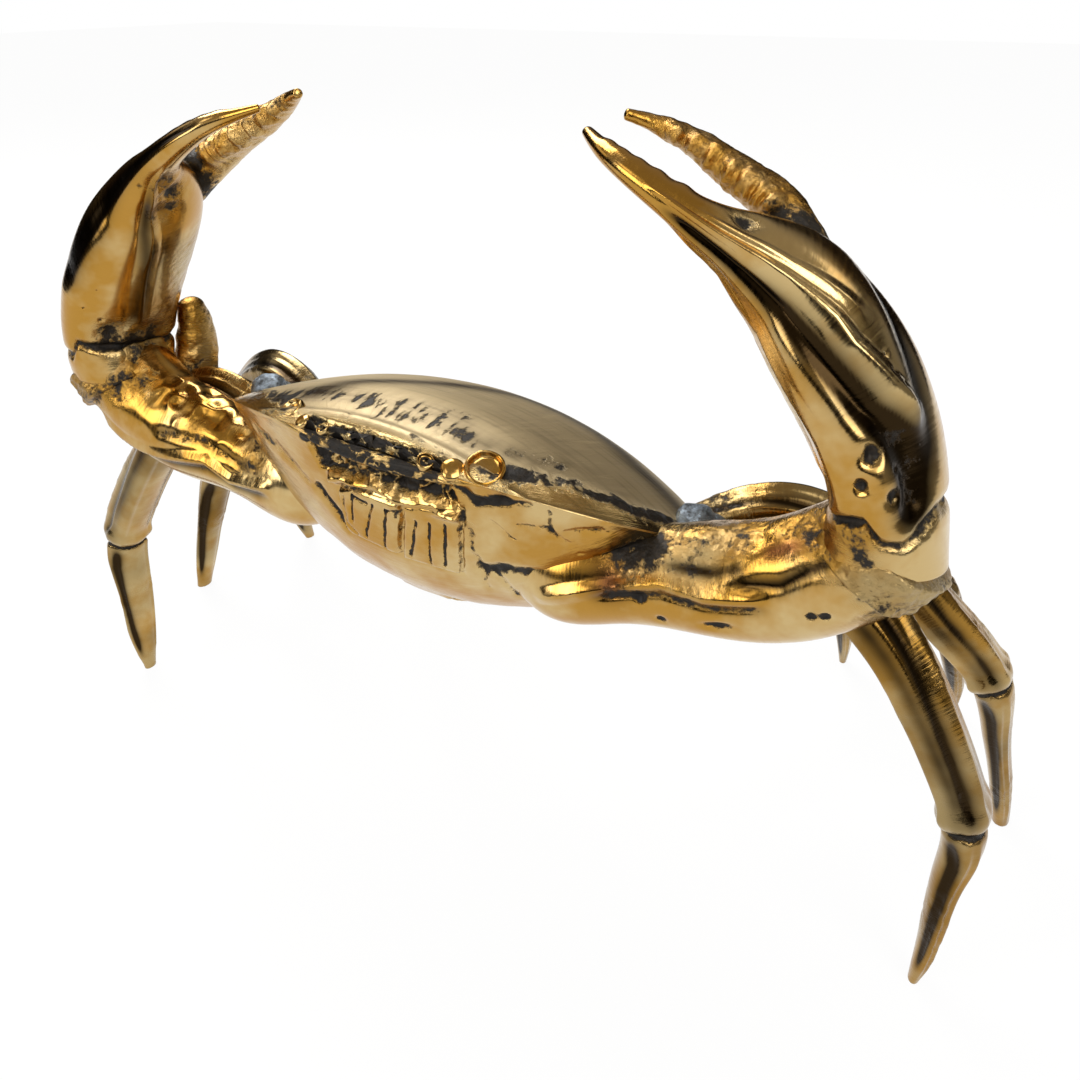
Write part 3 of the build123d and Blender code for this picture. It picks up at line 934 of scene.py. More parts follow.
def brass_of(context, kind):
    """The brass of one kind of finish, made when it is first needed."""
    finish = context.scene.crab_finish
    made = bpy.data.materials.get(f"{kind}_brass")
    if made:
        return made
    satin = kind == "brushed"
    pale = finish.satin_brass if satin else finish.pale_brass
    golden = finish.satin_brass if satin else finish.golden_brass
    colours = (pale, golden, finish.brown_brass, finish.copper, finish.patina, finish.pale_brass)
    roughness = finish.satin_roughness if satin else finish.polished_roughness
    hatch = {"brushed": 1.0, "polished": 0.35, "filed": 0.8}[kind]
    colours = [tuple(one) for one in colours]
    return cast_brass(f"{kind}_brass", colours, roughness, hatch, hatch_turned=satin)


# Corners of the mouth's plates, in millimetres across and below the rim
MOUTH_PANELS = (
    ((-7.7, 7.9), (-4.3, 6.6), (5.0, 6.8), (2.6, 15.7), (-8.5, 15.1)),
    ((5.8, 6.7), (15.7, 4.9), (13.6, 15.5), (3.3, 16.2)),
)
# Cuts in the face: a path across and below the rim, then width, height, patina and coarseness
FINE_CUT = (0.27, -0.45, 0.72, 0)
FAINT_CUT = (0.27, -0.4, 0.6, 0)
FACE_STROKES = (
    (((-4.4, 7.8), (-5.8, 12.4)), *FINE_CUT),
    (((-0.3, 8.4), (-3.1, 14.1)), *FINE_CUT),
    (((2.2, 8.4), (0.2, 14.9)), *FINE_CUT),
    (((7.7, 8.4), (5.3, 14.8)), *FINE_CUT),
    (((10.1, 8.3), (8.7, 14.6)), *FINE_CUT),
    (((12.8, 7.5), (11.6, 14.5)), *FINE_CUT),
    (((-13.4, 9.5), (-11.0, 12.1), (-8.5, 15.1)), 0.9, -1.0, 0.9, 0.5),
    (((15.4, 5.2), (17.0, 8.0), (16.4, 10.0), (17.4, 13.0)), 0.6, -0.35, 0.42, 0.8),
    (((-4.4, 7.8), (-1.4, 8.3)), *FAINT_CUT),
    (((15.5, 1.6), (18.5, 2.6), (23.0, 1.4)), 0.8, -0.5, 0.75, 0.6),
    (((24.0, 4.6), (28.0, 3.4), (31.0, 5.0)), 0.4, -0.25, 0.5, 0),
    (((20.0, 5.0), (23.5, 7.0)), 0.16, -0.2, 0.4, 0),
    (((2.2, 8.4), (4.3, 7.9), (3.6, 9.2)), *FAINT_CUT),
    (((-6.6, 8.6), (-7.4, 13.2), (-5.4, 14.4)), 0.25, -0.35, 0.5, 0),
    (((17.0, 13.9), (22.0, 12.3), (26.3, 11.9)), 0.9, -0.7, 0.75, 0.6),
    (((19.5, 13.5), (21.6, 17.4)), 0.5, -0.3, 0.5, 0),
    (((18.0, 14.0), (17.5, 16.9)), 0.5, -0.3, 0.5, 0),
    (((18.0, 3.0), (22.0, 1.8), (26.0, 0.8)), 0.5, -0.4, 0.7, 0.3),
    (((28.8, 1.0), (29.0, 3.6)), 0.5, -0.3, 0.55, 0),
    (((31.0, 3.6), (35.5, 1.6)), 0.45, -0.3, 0.5, 0),
    (((35.0, 6.5), (40.5, 1.6)), 0.6, -0.4, 0.6, 0.2),
    (((-28.0, 3.0), (-22.0, 5.0), (-16.0, 9.0)), 0.9, -0.35, 0.45, 0.5),
    (((-34.0, 2.0), (-30.0, 6.0)), 0.9, -0.4, 0.5, 0.4),
)
# The lumpy lip over the mouth's plates, and the outline of the black recess
LIP = ((-8.5, 6.2), (-3.0, 5.4), (0.8, 5.1), (5.4, 6.1), (9.9, 5.5), (14.9, 5.2))
RECESS = ((-13.5, -1.5), (13.0, -1.5), (15.0, 4.0), (5.0, 5.0), (-11.0, 5.4))
RECESS_BLACK = 0.9
CREST_RUBBED = 0.55
# Across and back of the middle: the jagged edge between the shell's satin and the bright face
BRIGHT_FROM = (
    (0, -31.9),
    (15, -31.9),
    (19, -30.5),
    (27, -26),
    (32, -22),
    (37.5, -18),
    (43, -10),
    (48, -2),
)
RIM_LINE = (
    (19.0, -30.5),
    (22.0, -28.7),
    (27.0, -26.0),
    (32.0, -22.0),
    (37.5, -18.0),
    (43.0, -10.0),
    (46.5, -5.0),
)
# Painted shade: the path of a dark brown band along the shell's crest, across and back
SHADED_CREST_LINE = (
    (-18, -25.5),
    (-14, -20),
    (-9, -15.5),
    (1, -7),
    (6, -2),
    (14, 0),
    (22, 0),
    (31, -3),
    (41, -4.5),
)
# Smoky smears behind the rim: a path across and back, then width and patina
SMEARS = (
    (((-24.0, -26.5), (-16.0, -26.5), (-9.0, -27.0)), 2.4, 0.62),
    (((-7.0, -27.0), (2.0, -25.5), (9.0, -25.0)), 2.4, 0.60),
    (((-3.0, -29.5), (6.0, -28.0), (15.0, -27.5)), 1.6, 0.50),
    (((12.0, -27.5), (20.0, -25.5), (26.0, -22.0)), 1.6, 0.42),
)
# The folded tail's outline, across and back, and the distance between its joints
TAIL = ((-3.5, -10.5), (3.5, -10.5), (13.0, 24.8), (-13.0, 24.8))
TAIL_JOINTS = 6.5
# Places of the body where soot gathers round the limbs' roots
SOOTY_ROOTS = ((0.80, 0.36, 0.40), (0.86, 0.55, 0.25), (0.80, 0.70, 0.30), (0.64, 0.83, 0.35))
# Across, forward and up from the body's middle, then the radius on the right and on the left
EYES = {
    "eye": (18.2, 30.5, 2.0, 2.1, 3.1),
    "eye_knob": (14.2, 32.6, 0.9, 1.3, 1.9),
    "eye_ring": (9.6, 33.0, 0.8, 1.1, 1.4),
}
# Profiles as radius and height, in the eye's own radius
CUP = ((0.75, -1.0), (1.0, -0.2), (1.0, 0.3), (0.85, 0.42), (0.72, 0.16), (0.4, 0.1), (0.05, 0.1))
KNOB = ((0.8, -0.8), (1.0, -0.1), (0.92, 0.25), (0.6, 0.42), (0.3, 0.48), (0.05, 0.5))


def recess_scrolls(points):
    """A share that is 1 on the crests of tangled scrolls about 1.5 mm apart.

    The crests lie where a rough grain passes through zero, which gives closed, winding lines.
    """
    return np.exp(-((rough_grain(points, 2.0, seed=20) / 0.15) ** 2))


def front_recess(across, back):
    """A share that is 1 on the flat front end of the shells, where the recess lies."""
    sides = fade(-15, -13, across) * (1 - fade(11.5, 13.5, across))
    return sides * (1 - fade(-32.6, -31.8, back))


def blacken(casting, share, scrolls):
    """Turns a share of the surface to the recess's black, rubbed thin on the scrolls' crests."""
    black = RECESS_BLACK - CREST_RUBBED * scrolls
    casting.patina = casting.patina * (1 - share) + share * black


def upper_shell(depth):
    """The carapace: brushed satin behind a jagged black rim, with smoky smears and painted shade
    along its crest.
    """
    shell = body_shell(True, rows=220, arc_columns=230)
    across, back, below = body_chart(shell.points)
    rise = 0.3 * rough_grain(shell.points, 22, seed=11)
    edge = stroke(across, back, RIM_LINE, 1.6)
    mirrored_edge = stroke(-across, back, RIM_LINE, 1.3)
    jagged = 0.5 + 0.6 * rough_grain(shell.points, 3.2, seed=17)
    shell.patina = (0.9 * edge + 0.6 * mirrored_edge) * np.clip(0.3 + jagged, 0, 1.2)
    edge_back = np.interp(np.abs(across), *np.transpose(BRIGHT_FROM))
    shell.bright = 1 - fade(edge_back - 0.7, edge_back + 0.7, back)
    shell.coarse = edge + mirrored_edge
    rise += 0.5 * jagged * edge
    # Brush marks that run across the shell, drawn 0.6 mm apart so that they show
    brushed = shell.points @ np.stack([0.08 * ACROSS, BACK, 0.08 * UP], axis=1)
    haze = 0.22 * fade(-0.2, 0.8, rough_grain(brushed, 0.6, seed=29))
    # Smoky brush marks that run back from the rim, each about 1 mm wide
    bristles = shell.points @ np.stack([ACROSS, 0.14 * BACK, 0.14 * UP], axis=1)
    hairy = fade(-0.3, 0.5, rough_grain(bristles, 0.8, seed=18))
    for path, width, amount in SMEARS:
        smoke = stroke(across, back, path, width)
        shell.patina += amount * smoke * (0.3 + 0.8 * hairy)
        haze += 0.5 * smoke * (0.5 + 0.5 * hairy)
    # The bright band that folds over the front edge, above the black recess
    front = 1 - fade(-31.4, -30.2, back)
    shell.patina += 0.25 * front
    rise += 0.5 * np.exp(-(((back + 31.2) / 0.8) ** 2))
    shell.tarnish = haze + 0.16 * fade(0.1, 0.8, grain(shell.points, 26, seed=19))
    # Painted shade: a dark brown band, about 3 mm wide, along the crest
    shell.tarnish += 0.75 * stroke(across, back, SHADED_CREST_LINE, 3.0)
    sand = depth * shell.coarse * rough_grain(shell.points, 1.7, seed=13)
    shell.raise_by(shell.free * (rise + sand))
    rounded_ends(shell, start=0.05, end=0.05, rings=24)
    across, back, below = body_chart(shell.points)
    hollow = front_recess(across, back) * fade(-2.6, -2.0, below)
    scrolls = recess_scrolls(shell.points)
    blacken(shell, hollow, scrolls)
    shell.raise_by(hollow * (0.9 * scrolls - 1.1))
    return shell


def carve_face(shell, across, below, front):
    """Cuts the mouth's plates and the strokes, lays the lip, and returns the relief's height."""
    rise = np.zeros(across.shape)
    for panel in MOUTH_PANELS:
        plate = inside(across, below, panel, 0.3) * front
        border = stroke(across, below, (*panel, panel[0]), 0.4) * front
        rise += 0.9 * plate - 0.5 * border
        shell.patina += 0.42 * border
    for path, width, height, patina, coarse in FACE_STROKES:
        drawn = stroke(across, below, path, width) * front
        rise += height * drawn
        shell.patina += patina * drawn
        shell.coarse += coarse * drawn
    lip = stroke(across, below, LIP, 0.75) * front
    shell.patina *= 1 - 0.75 * lip
    return rise + lip * (1.3 + 0.8 * rough_grain(shell.points, 2.6, seed=14))


def lower_shell(depth):
    """The underbody: the face with its recess and mouth, and the folded tail under the body."""
    shell = body_shell(False, rows=270, arc_columns=300)
    across, back, below = body_chart(shell.points)
    front = 1 - fade(-9, -3, back)
    rise = 0.35 * rough_grain(shell.points, 9, seed=12)
    recess = inside(across, below, RECESS, 0.5) * front
    scrolls = recess_scrolls(shell.points)
    rise += recess * (1.0 * scrolls - 1.5)
    blacken(shell, recess, scrolls)
    shell.coarse = 0.6 * recess
    # The hand that cut the face and the tail strayed by up to half a millimetre
    across = across + 0.5 * rough_grain(shell.points, 3.4, seed=26)
    below = below + 0.3 * rough_grain(shell.points, 3.4, seed=27)
    rise += carve_face(shell, across, below, front)
    tail = inside(across, back, TAIL, 0.5) * fade(4, 8, below) * (1 - front)
    joints = np.exp(-(((back % TAIL_JOINTS - 3.2) / 0.5) ** 2)) * tail
    rise += 0.8 * tail - 0.5 * joints
    shell.patina += 0.8 * joints
    for side in SIDES.values():
        for root in SOOTY_ROOTS:
            away = np.linalg.norm(shell.points - body_point(side, *root), axis=-1)
            soot = np.exp(-((away / 7) ** 2))
            shell.patina += 0.42 * soot
            shell.coarse += 0.8 * soot
    # The few pits that the polish left open
    pits = fade(0.8, 0.95, grain(shell.points, 1.5, seed=15))
    pits = pits * fade(0.2, 0.6, grain(shell.points, 14, seed=9))
    shell.patina += 0.6 * pits * (1 - recess)
    rise -= 0.3 * pits
    shell.coarse = np.clip(shell.coarse, 0, 1)
    rise += 2 * depth * shell.coarse * rough_grain(shell.points, 1.9, seed=16)
    shell.raise_by(shell.free * rise)
    rounded_ends(shell, start=0.05, end=0.05, rings=24)
    across, back, below = body_chart(shell.points)
    hollow = front_recess(across, back) * (1 - fade(1.5, 3.0, below))
    blacken(shell, hollow, recess_scrolls(shell.points))
    return shell


def eye_part(kind, side):
    """A cup with a dish in it, an oval knob or a small ring, turned about the eye's own axis."""
    spread, lead, lift, *radii = EYES[kind]
    place = BODY_CENTRE + ACROSS * (side * spread) - BACK * lead + UP * lift
    profile = np.array(KNOB if kind == "eye_knob" else CUP) * radii[0 if side < 0 else 1]
    part = turned(place, UP * 0.7 - BACK + ACROSS * (0.35 * side), profile)
    part.raise_by(0.3 * rough_grain(part.points, 2.2, seed=28))
    part.patina += 0.75 * (1 - fade(0.05, 0.35, part.along))
    if kind == "eye_ring":
        part.patina += fade(0.7, 0.8, part.along)
    return part


class CRAB_OT_body(CrabBuilder, bpy.types.Operator):
    """Builds the carapace with the eyes, and the lower shell with the face and the folded tail"""

    bl_idname = "crab.body"
    bl_label = "Body"

    def execute(self, context):
        depth = context.scene.crab_shape.casting_depth / MM
        brushed = brass_of(context, "brushed")
        add_mesh("carapace_cast", upper_shell(depth), brushed, "carapace")
        filed = brass_of(context, "filed")
        add_mesh("underbody_cast", lower_shell(depth), filed, "underbody")
        polished = brass_of(context, "polished")
        for name, side in SIDES.items():
            for kind in EYES:
                add_mesh(f"{kind}_cast_{name}", eye_part(kind, side), polished, "carapace")
        return {"FINISHED"}


# On the right arm: pits by the wrist, the dark line beside the fold and the fold's outer end
WRIST_PITS = ((0.89, 125), (0.93, 150), (0.98, 185), (0.97, 120), (0.95, 215))
FOLD_SHADE = ((0.20, 182), (0.36, 199), (0.47, 186), (0.73, 209), (0.85, 224))
FAR_FOLD = ((0.73, 198), (0.85, 214), (0.93, 213))
# Relief and finish of the arms: how it is drawn, path, width, height, then the marks
ARM_WORK = {
    "left": (
        ("crease", ((0.11, 183), (0.29, 170), (0.48, 159), (0.60, 170), (0.75, 170)), 12, 0.9),
        ("line", ((0.29, 180), (0.48, 169), (0.60, 180), (0.75, 180)), 6, -0.5, 0.5, 0.5),
        ("line", ((0.70, 154), (0.82, 159), (0.93, 152), (0.975, 149)), 8, -0.4, 0.15, 1),
        ("line", ((0.50, 140), (0.62, 146), (0.72, 140)), 7, -0.3, 0.1, 0.8),
        ("dots", ((0.64, 118), (0.69, 100), (0.90, 108), (0.59, 134)), 4.2, -0.4, 0.42, 0.3, 1),
        ("line", ((0.79, 129), (0.89, 129)), 8, 0, 0, 0, 0, 0.9),
        ("line", ((0.60, 203), (0.66, 201)), 5, -0.7, 1),
        ("dots", ((0.854, 195), (0.88, 200), (0.97, 172), (0.42, 177), (0.467, 206)), 0.8, -0.6, 1),
        ("dots", ((0.49, 131), (0.58, 118)), 5, 0.8, 0, 0, 0.4),
        ("dots", ((0.39, 123), (0.44, 118)), 4.2, -0.6, 0.72, 0, 1),
        ("dots", ((0.33, 160),), 3, -0.4, 0.3, 1, 0, 0.4),
        ("dots", ((0.93, 130), (0.96, 160), (0.98, 192), (0.97, 220)), 2.4, -0.4, 0.45, 0.2, 1),
    ),
    "right": (
        ("crease", ((0.18, 172), (0.36, 188), (0.47, 175), *FAR_FOLD), 12, 0.9),
        ("line", FOLD_SHADE, 7, -0.5, 0.25, 0.9),
        ("line", ((0.30, 160), (0.50, 150), (0.70, 165)), 8, -0.4, 0.35, 0.6),
        ("dots", WRIST_PITS, 3.4, -0.6, 0.5, 0.2, 1),
        ("dots", ((0.30, 120), (0.26, 150), (0.34, 100)), 3.6, -0.5, 0.42, 0.2, 1),
        ("dots", ((0.55, 135), (0.62, 120)), 2.2, -0.5, 0.3, 0.2, 0.8),
    ),
}


class CRAB_OT_arms(CrabBuilder, bpy.types.Operator):
    """Builds the two arms with the knob behind each wrist"""

    bl_idname = "crab.arms"
    bl_label = "Arms"

    def execute(self, context):
        shape = context.scene.crab_shape
        depth = shape.casting_depth / MM
        for name, side in SIDES.items():
            places, sizes = arm_places(side)
            knots = [row[0] for row in ARM_SHARES]
            arm = carried_tube(places, sizes, side, rows=230, columns=170, knots=knots)
            arm.work(ARM_WORK[name])
            # Hammered flats on the top side, most of them on the crab's right
            struck = arm.line(((0.34, 95), (0.80, 95)), 55) * (1 if side < 0 else 0.35)
            dents = np.abs(grain(arm.points, shape.hammer_size / MM, seed=21))
            arm.raise_by(-shape.hammer_depth / MM * struck * dents * 2)
            arm.weather(depth, seed=22)
            rounded_ends(arm)
            places, sizes = lobe_places(side)
            lobe = carried_tube(places, sizes, side, rows=80, columns=96)
            lobe.coarse += 0.6
            lobe.patina += 0.5 * (1 - fade(0.1, 0.4, lobe.along)) + 0.15
            lobe.tarnish += 0.3
            lobe.weather(depth, seed=24)
            rounded_ends(lobe, end=0.8)
            brass = brass_of(context, "polished")
            add_mesh(f"arm_cast_{name}", arm, brass, f"arm_{name}")
            add_mesh(f"arm_lobe_{name}", lobe, brass, f"arm_{name}")
        return {"FINISHED"}


# The pitted seam round each hand's root, as angles and places along
SEAM = (
    (0, 0.10),
    (90, 0.11),
    (171, 0.125),
    (187, 0.081),
    (207, 0.077),
    (234, 0.105),
    (248, 0.115),
    (300, 0.11),
)
# The keel on the inner side of both hands, each hand's long groove and the left one's ridge
KEEL = ((0.185, 103), (0.35, 110), (0.50, 115), (0.61, 117), (0.66, 117))
GROOVE = (
    (0.12, 218),
    (0.178, 226),
    (0.236, 222),
    (0.305, 204),
    (0.394, 192),
    (0.51, 179),
    (0.587, 166),
    (0.68, 166),
)
RIGHT_GROOVE = ((0.28, 200), (0.456, 190), (0.579, 200), (0.71, 209), (0.83, 205))
RIDGE = ((0.26, 244), (0.31, 232), (0.39, 219), (0.44, 218), (0.52, 211), (0.62, 205), (0.72, 203))
# Places along the fixed finger of the small lumps near its tip
TIP_LUMPS = (0.70, 0.75, 0.80, 0.85, 0.90)
# Relief and finish of the hands, in the same rows as the arms
HAND_WORK = {
    "left": (
        # Painted dark reflection: the long groove is turned dark brown along with its relief
        ("line", GROOVE, 17, -1.5, 0.03, 1.7),
        ("line", ((0.13, 226), (0.20, 228), (0.26, 220)), 13, -0.3, 0.35, 1.0),
        ("crease", RIDGE, 12, 1.1),
        ("crease", ((0.42, 240), (0.54, 227), (0.66, 225)), 10, 0.5),
        # Painted dark reflection: a dark brown band along the hand's outer edge
        ("line", ((0.19, 250), (0.27, 254), (0.35, 270), (0.43, 292)), 12, -0.5, 0.05, 1),
        ("crease", ((0.15, 150), (0.28, 147), (0.41, 135), (0.55, 122)), 14, 0.5),
        ("dots", ((0.236, 193.5),), 1.3, -1.4, 0.8),
        ("dots", ((0.162, 205), (0.193, 175.5)), 1.0, -1.1, 0.75),
        ("dots", ((0.201, 214), (0.324, 238), (0.30, 243), (0.35, 240)), 0.35, -0.3, 0.6),
        ("belt", SEAM, 0.012, -1.0, 0.6, 0.2, 1),
        ("line", ((0.0, 180), (0.06, 168), (0.12, 160)), 14, -0.4, 0.5, 0.2, 1),
        ("dots", ((0.10, 144),), 3.2, 0.8, 0, 0, 0.6),
        ("dots", ((0.60, 262),), 1.8, -1.2, 0.6, 0.4, 1),
        ("crease", KEEL, 12, 0.8),
        ("dots", ((0.60, 85), (0.52, 62)), 3.2, -1.2, 0.5, 0.3, 0.8),
    ),
    "right": (
        # Painted dark reflection: the long groove is turned dark brown along with its relief
        ("line", RIGHT_GROOVE, 21, -0.8, 0.02, 1.5),
        ("line", ((0.20, 108), (0.37, 110), (0.50, 122), (0.60, 122)), 10, -0.4, 0.1, 0.9),
        ("crease", KEEL, 12, 1.0),
        ("line", ((0.12, 66), (0.29, 60), (0.44, 62)), 30, 0, 0, 0.3, 0.3),
        ("dots", ((0.63, 97), (0.58, 75), (0.54, 95)), 3.2, -1.4, 0.5, 0.3, 0.8),
        ("dots", ((0.158, 128), (0.131, 103), (0.13, 85), (0.054, 81)), 3.8, -1.5, 0.6, 0.2, 1),
        ("belt", SEAM, 0.014, -1.0, 0.6, 0.2, 1),
        ("dots", ((0.30, 150), (0.24, 160), (0.21, 140)), 0.4, -0.3, 0.55),
    ),
}


class CRAB_OT_claws(CrabBuilder, bpy.types.Operator):
    """Builds the two palms with their fixed fingers"""

    bl_idname = "crab.claws"
    bl_label = "Claws"

    def execute(self, context):
        depth = context.scene.crab_shape.casting_depth / MM
        for name, side in SIDES.items():
            places, sizes = hand_places(side)
            hand = carried_tube(places, sizes, side, rows=290, columns=180)
            hand.work(HAND_WORK[name])
            for place in TIP_LUMPS:
                hand.raise_by(0.35 * hand.dots(((place, 300),), 1.3))
            hand.weather(depth, seed=41, waves=0.14)
            rounded_ends(hand, start=0.1)
            brass = brass_of(context, "polished")
            add_mesh(f"claw_cast_{name}", hand, brass, f"claw_{name}")
        return {"FINISHED"}


# Number of wrinkles across the toothed finger, and the place along and size of each tooth
WRINKLES = 17
TEETH = ((0.20, 1), (0.30, 1), (0.40, 1.1), (0.50, 1.05), (0.60, 0.95), (0.70, 0.8), (0.80, 0.6))


class CRAB_OT_fingers(CrabBuilder, bpy.types.Operator):
    """Builds the two toothed fingers"""

    bl_idname = "crab.fingers"
    bl_label = "Toothed fingers"

    def execute(self, context):
        shape = context.scene.crab_shape
        for name, side in SIDES.items():
            places, sizes = finger_places(side)
            finger = carried_tube(places, sizes, side, rows=260, columns=130)
            row = 195 if side > 0 else 172
            for place, size in TEETH:
                tooth = finger.dots(((place, row),), 1.5 * size)
                finger.raise_by(tooth * shape.tooth_height / MM * size * 1.15)
            # Wrinkles across the finger, between the teeth
            wrinkled = finger.line(((0.1, 190), (0.9, 190)), 60)
            finger.raise_by(0.16 * wrinkled * np.sin(finger.along * 2 * np.pi * WRINKLES))
            finger.coarse += np.clip(0.25 + wrinkled * (1.0 if side > 0 else 0.7), 0, 1)
            finger.patina += 0.62 * (1 - fade(0.08, 0.22, finger.along)) + 0.3 * wrinkled
            finger.weather(shape.casting_depth / MM * 1.2, seed=51)
            rounded_ends(finger)
            brass = brass_of(context, "polished")
            add_mesh(f"claw_finger_cast_{name}", finger, brass, f"claw_finger_{name}")
        return {"FINISHED"}


# Places of the body where the solder beads lie, and their radius
BEADS = ((0.93, 0.43, -0.10), (0.96, 0.50, -0.06))
BEAD_RADIUS = 3.6


class CRAB_OT_solder(CrabBuilder, bpy.types.Operator):
    """Builds the brazed rings at the wrists and the solder at the shoulders"""

    bl_idname = "crab.solder"
    bl_label = "Solder"

    def execute(self, context):
        shape = context.scene.crab_shape
        finish = context.scene.crab_finish
        solder = silver_solder("silver_solder", tuple(finish.solder), tuple(finish.dull_solder))
        for name, side in SIDES.items():
            middle, onward = wrist_frame(side)
            steps = np.linspace(-0.9, 0.9, 5)[:, None] * BRAZE_THICKNESS
            sizes = np.repeat(arm_places(side)[1][-1:] + 0.9, 5, 0)
            ring = carried_tube(middle + steps * onward, sizes, side, rows=40, columns=200)
            ring.raise_by(shape.braze_lump / MM * rough_grain(ring.points, 3.6, seed=31))
            ring.patina += 0.25 + 0.35 * grain(ring.points, 5, seed=33)
            ring.tarnish += 0.3
            ring.coarse += 0.9
            ring.weather(shape.casting_depth / MM, seed=34)
            rounded_ends(ring, start=0.1, end=0.1, rings=6)
            brass = brass_of(context, "polished")
            add_mesh(f"wrist_braze_cast_{name}", ring, brass, f"wrist_braze_{name}")

            for number, place in enumerate(BEADS):
                bead = blob(body_point(side, *place), BEAD_RADIUS)
                bead.raise_by(0.6 * rough_grain(bead.points, 3, seed=32))
                bead_name = f"shoulder_bead_{number}_{name}"
                add_mesh(bead_name, bead, solder, f"shoulder_solder_{name}")
        return {"FINISHED"}


# How far each piece of a leg runs on past the knee, and the groove in front of its tip
KNEE_LAP = 0.004
TIP_GROOVE = ((0.656, 205), (0.70, 193), (0.786, 190), (0.883, 203), (0.93, 205))
# Relief and finish of a whole leg, in the same rows, with the knee at 0.625 along
LEG_WORK = (
    ("crease", ((0.05, 70), (0.35, 78), (0.465, 108), (0.60, 124)), 20, 1.3),
    ("line", ((0.05, 118), (0.35, 122), (0.465, 140), (0.60, 150)), 14, -0.6, 0.12, 0.7),
    ("line", ((0.05, 178), (0.60, 178)), 26, -0.7, 0.04, 0.5),
    ("crease", ((0.05, 222), (0.62, 222)), 14, 0.6),
    ("crease", ((0.05, 50), (0.95, 50)), 16, 0.6),
    ("line", ((0.05, 2), (0.95, 2)), 22, -0.6, 0.08, 0.5),
    ("crease", ((0.05, 318), (0.95, 318)), 14, 0.5),
    ("belt", ((0, 0.607), (90, 0.613), (180, 0.603), (270, 0.613)), 0.014, 0.7),
    ("belt", ((0, 0.632), (90, 0.637), (180, 0.626), (270, 0.637)), 0.006, -0.9, 0.85, 0.4, 0.5),
    ("crease", ((0.66, 135), (0.97, 135)), 16, 0.6),
    ("line", TIP_GROOVE, 20, -0.6, 0.1, 1.5),
    ("crease", ((0.66, 162), (0.96, 166)), 14, 0.6),
    ("line", ((0.02, 0), (0.16, 0)), 400, 0, 0.45, 0.3, 0.6),
)


class CRAB_OT_legs(CrabBuilder, bpy.types.Operator):
    """Builds the eight legs, each in an upper piece and a tip"""

    bl_idname = "crab.legs"
    bl_label = "Legs"

    def execute(self, context):
        depth = context.scene.crab_shape.casting_depth / MM
        for name, side in SIDES.items():
            for number, leg in enumerate(LEG_SHARES):
                upper, upper_sizes, tip, tip_sizes = leg_places(leg, side)
                places = np.vstack([upper, tip[1:]])
                sizes = np.vstack([upper_sizes, tip_sizes[1:]])
                whole = carried_tube(places, sizes, side, rows=330, columns=96)
                whole.work(LEG_WORK)
                whole.tarnish += 0.34 + 0.45 * rough_grain(whole.points, 11, seed=61 + number)
                whole.tarnish = np.clip(whole.tarnish, 0, 1)
                whole.coarse += 0.35 * fade(0.1, 0.5, grain(whole.points, 7, seed=65 + number))
                whole.weather(depth, seed=62, waves=0.12)
                knee = (len(upper) - 1) / (len(places) - 1)
                upper_leg = rounded_ends(cut_rows(whole, 0, knee + KNEE_LAP), end=0.15)
                leg_tip = rounded_ends(cut_rows(whole, knee - KNEE_LAP, 1), start=0.15)
                leg_tip.points[..., 2] = np.maximum(leg_tip.points[..., 2], 0)
                brass = brass_of(context, "filed")
                add_mesh(f"{leg}_leg_cast_{name}", upper_leg, brass, f"{leg}_leg_{name}")
                tip_node = f"{leg}_leg_tip_{name}"
                add_mesh(f"{leg}_leg_tip_cast_{name}", leg_tip, brass, tip_node)
        return {"FINISHED"}


# Azimuth and elevation of each window's middle, half its width and height, and its level
WINDOWS = (
    (40, 62, 8, 6, 3.0),
    (150, 55, 8, 6, 2.4),
    (255, 60, 7, 8, 2.6),
    (318, 38, 6, 7, 1.8),
    (205, 30, 30, 9, 0.45),
    (95, 34, 12, 7, 0.9),
    (285, 10, 42, 13, 0.22),
)
WINDOW_EDGE = 2
WINDOW_TINT = np.array([1.0, 0.96, 0.88])
# Metres: the floor's half width, the mirrored room's radius and the place that lamps point at
FLOOR_HALF = 3.0
ROOM_RADIUS = 1.3
LAMPS_AIM = np.array([0, 0, 0.07])
# Share of its glow that the floor shows to the camera
FLOOR_GLOW = 0.94
# Place, size and power
LAMPS = {
    "key_lamp": ((-0.5, 0.35, 0.8), 0.5, 7.0),
    "fill_lamp": ((0.7, -0.5, 0.7), 0.6, 5.0),
    "front_lamp": ((-0.5, -0.8, 0.5), 0.5, 4.0),
}


def look_along(direction):
    """The turn that points a lamp or camera along a direction with its top side up."""
    onward = np.asarray(direction, float)
    onward /= np.linalg.norm(onward)
    right = np.cross(onward, (0, 0, 1))
    right /= np.linalg.norm(right)
    top = np.cross(right, onward)
    return Matrix(np.stack([right, top, -onward], axis=1).tolist())


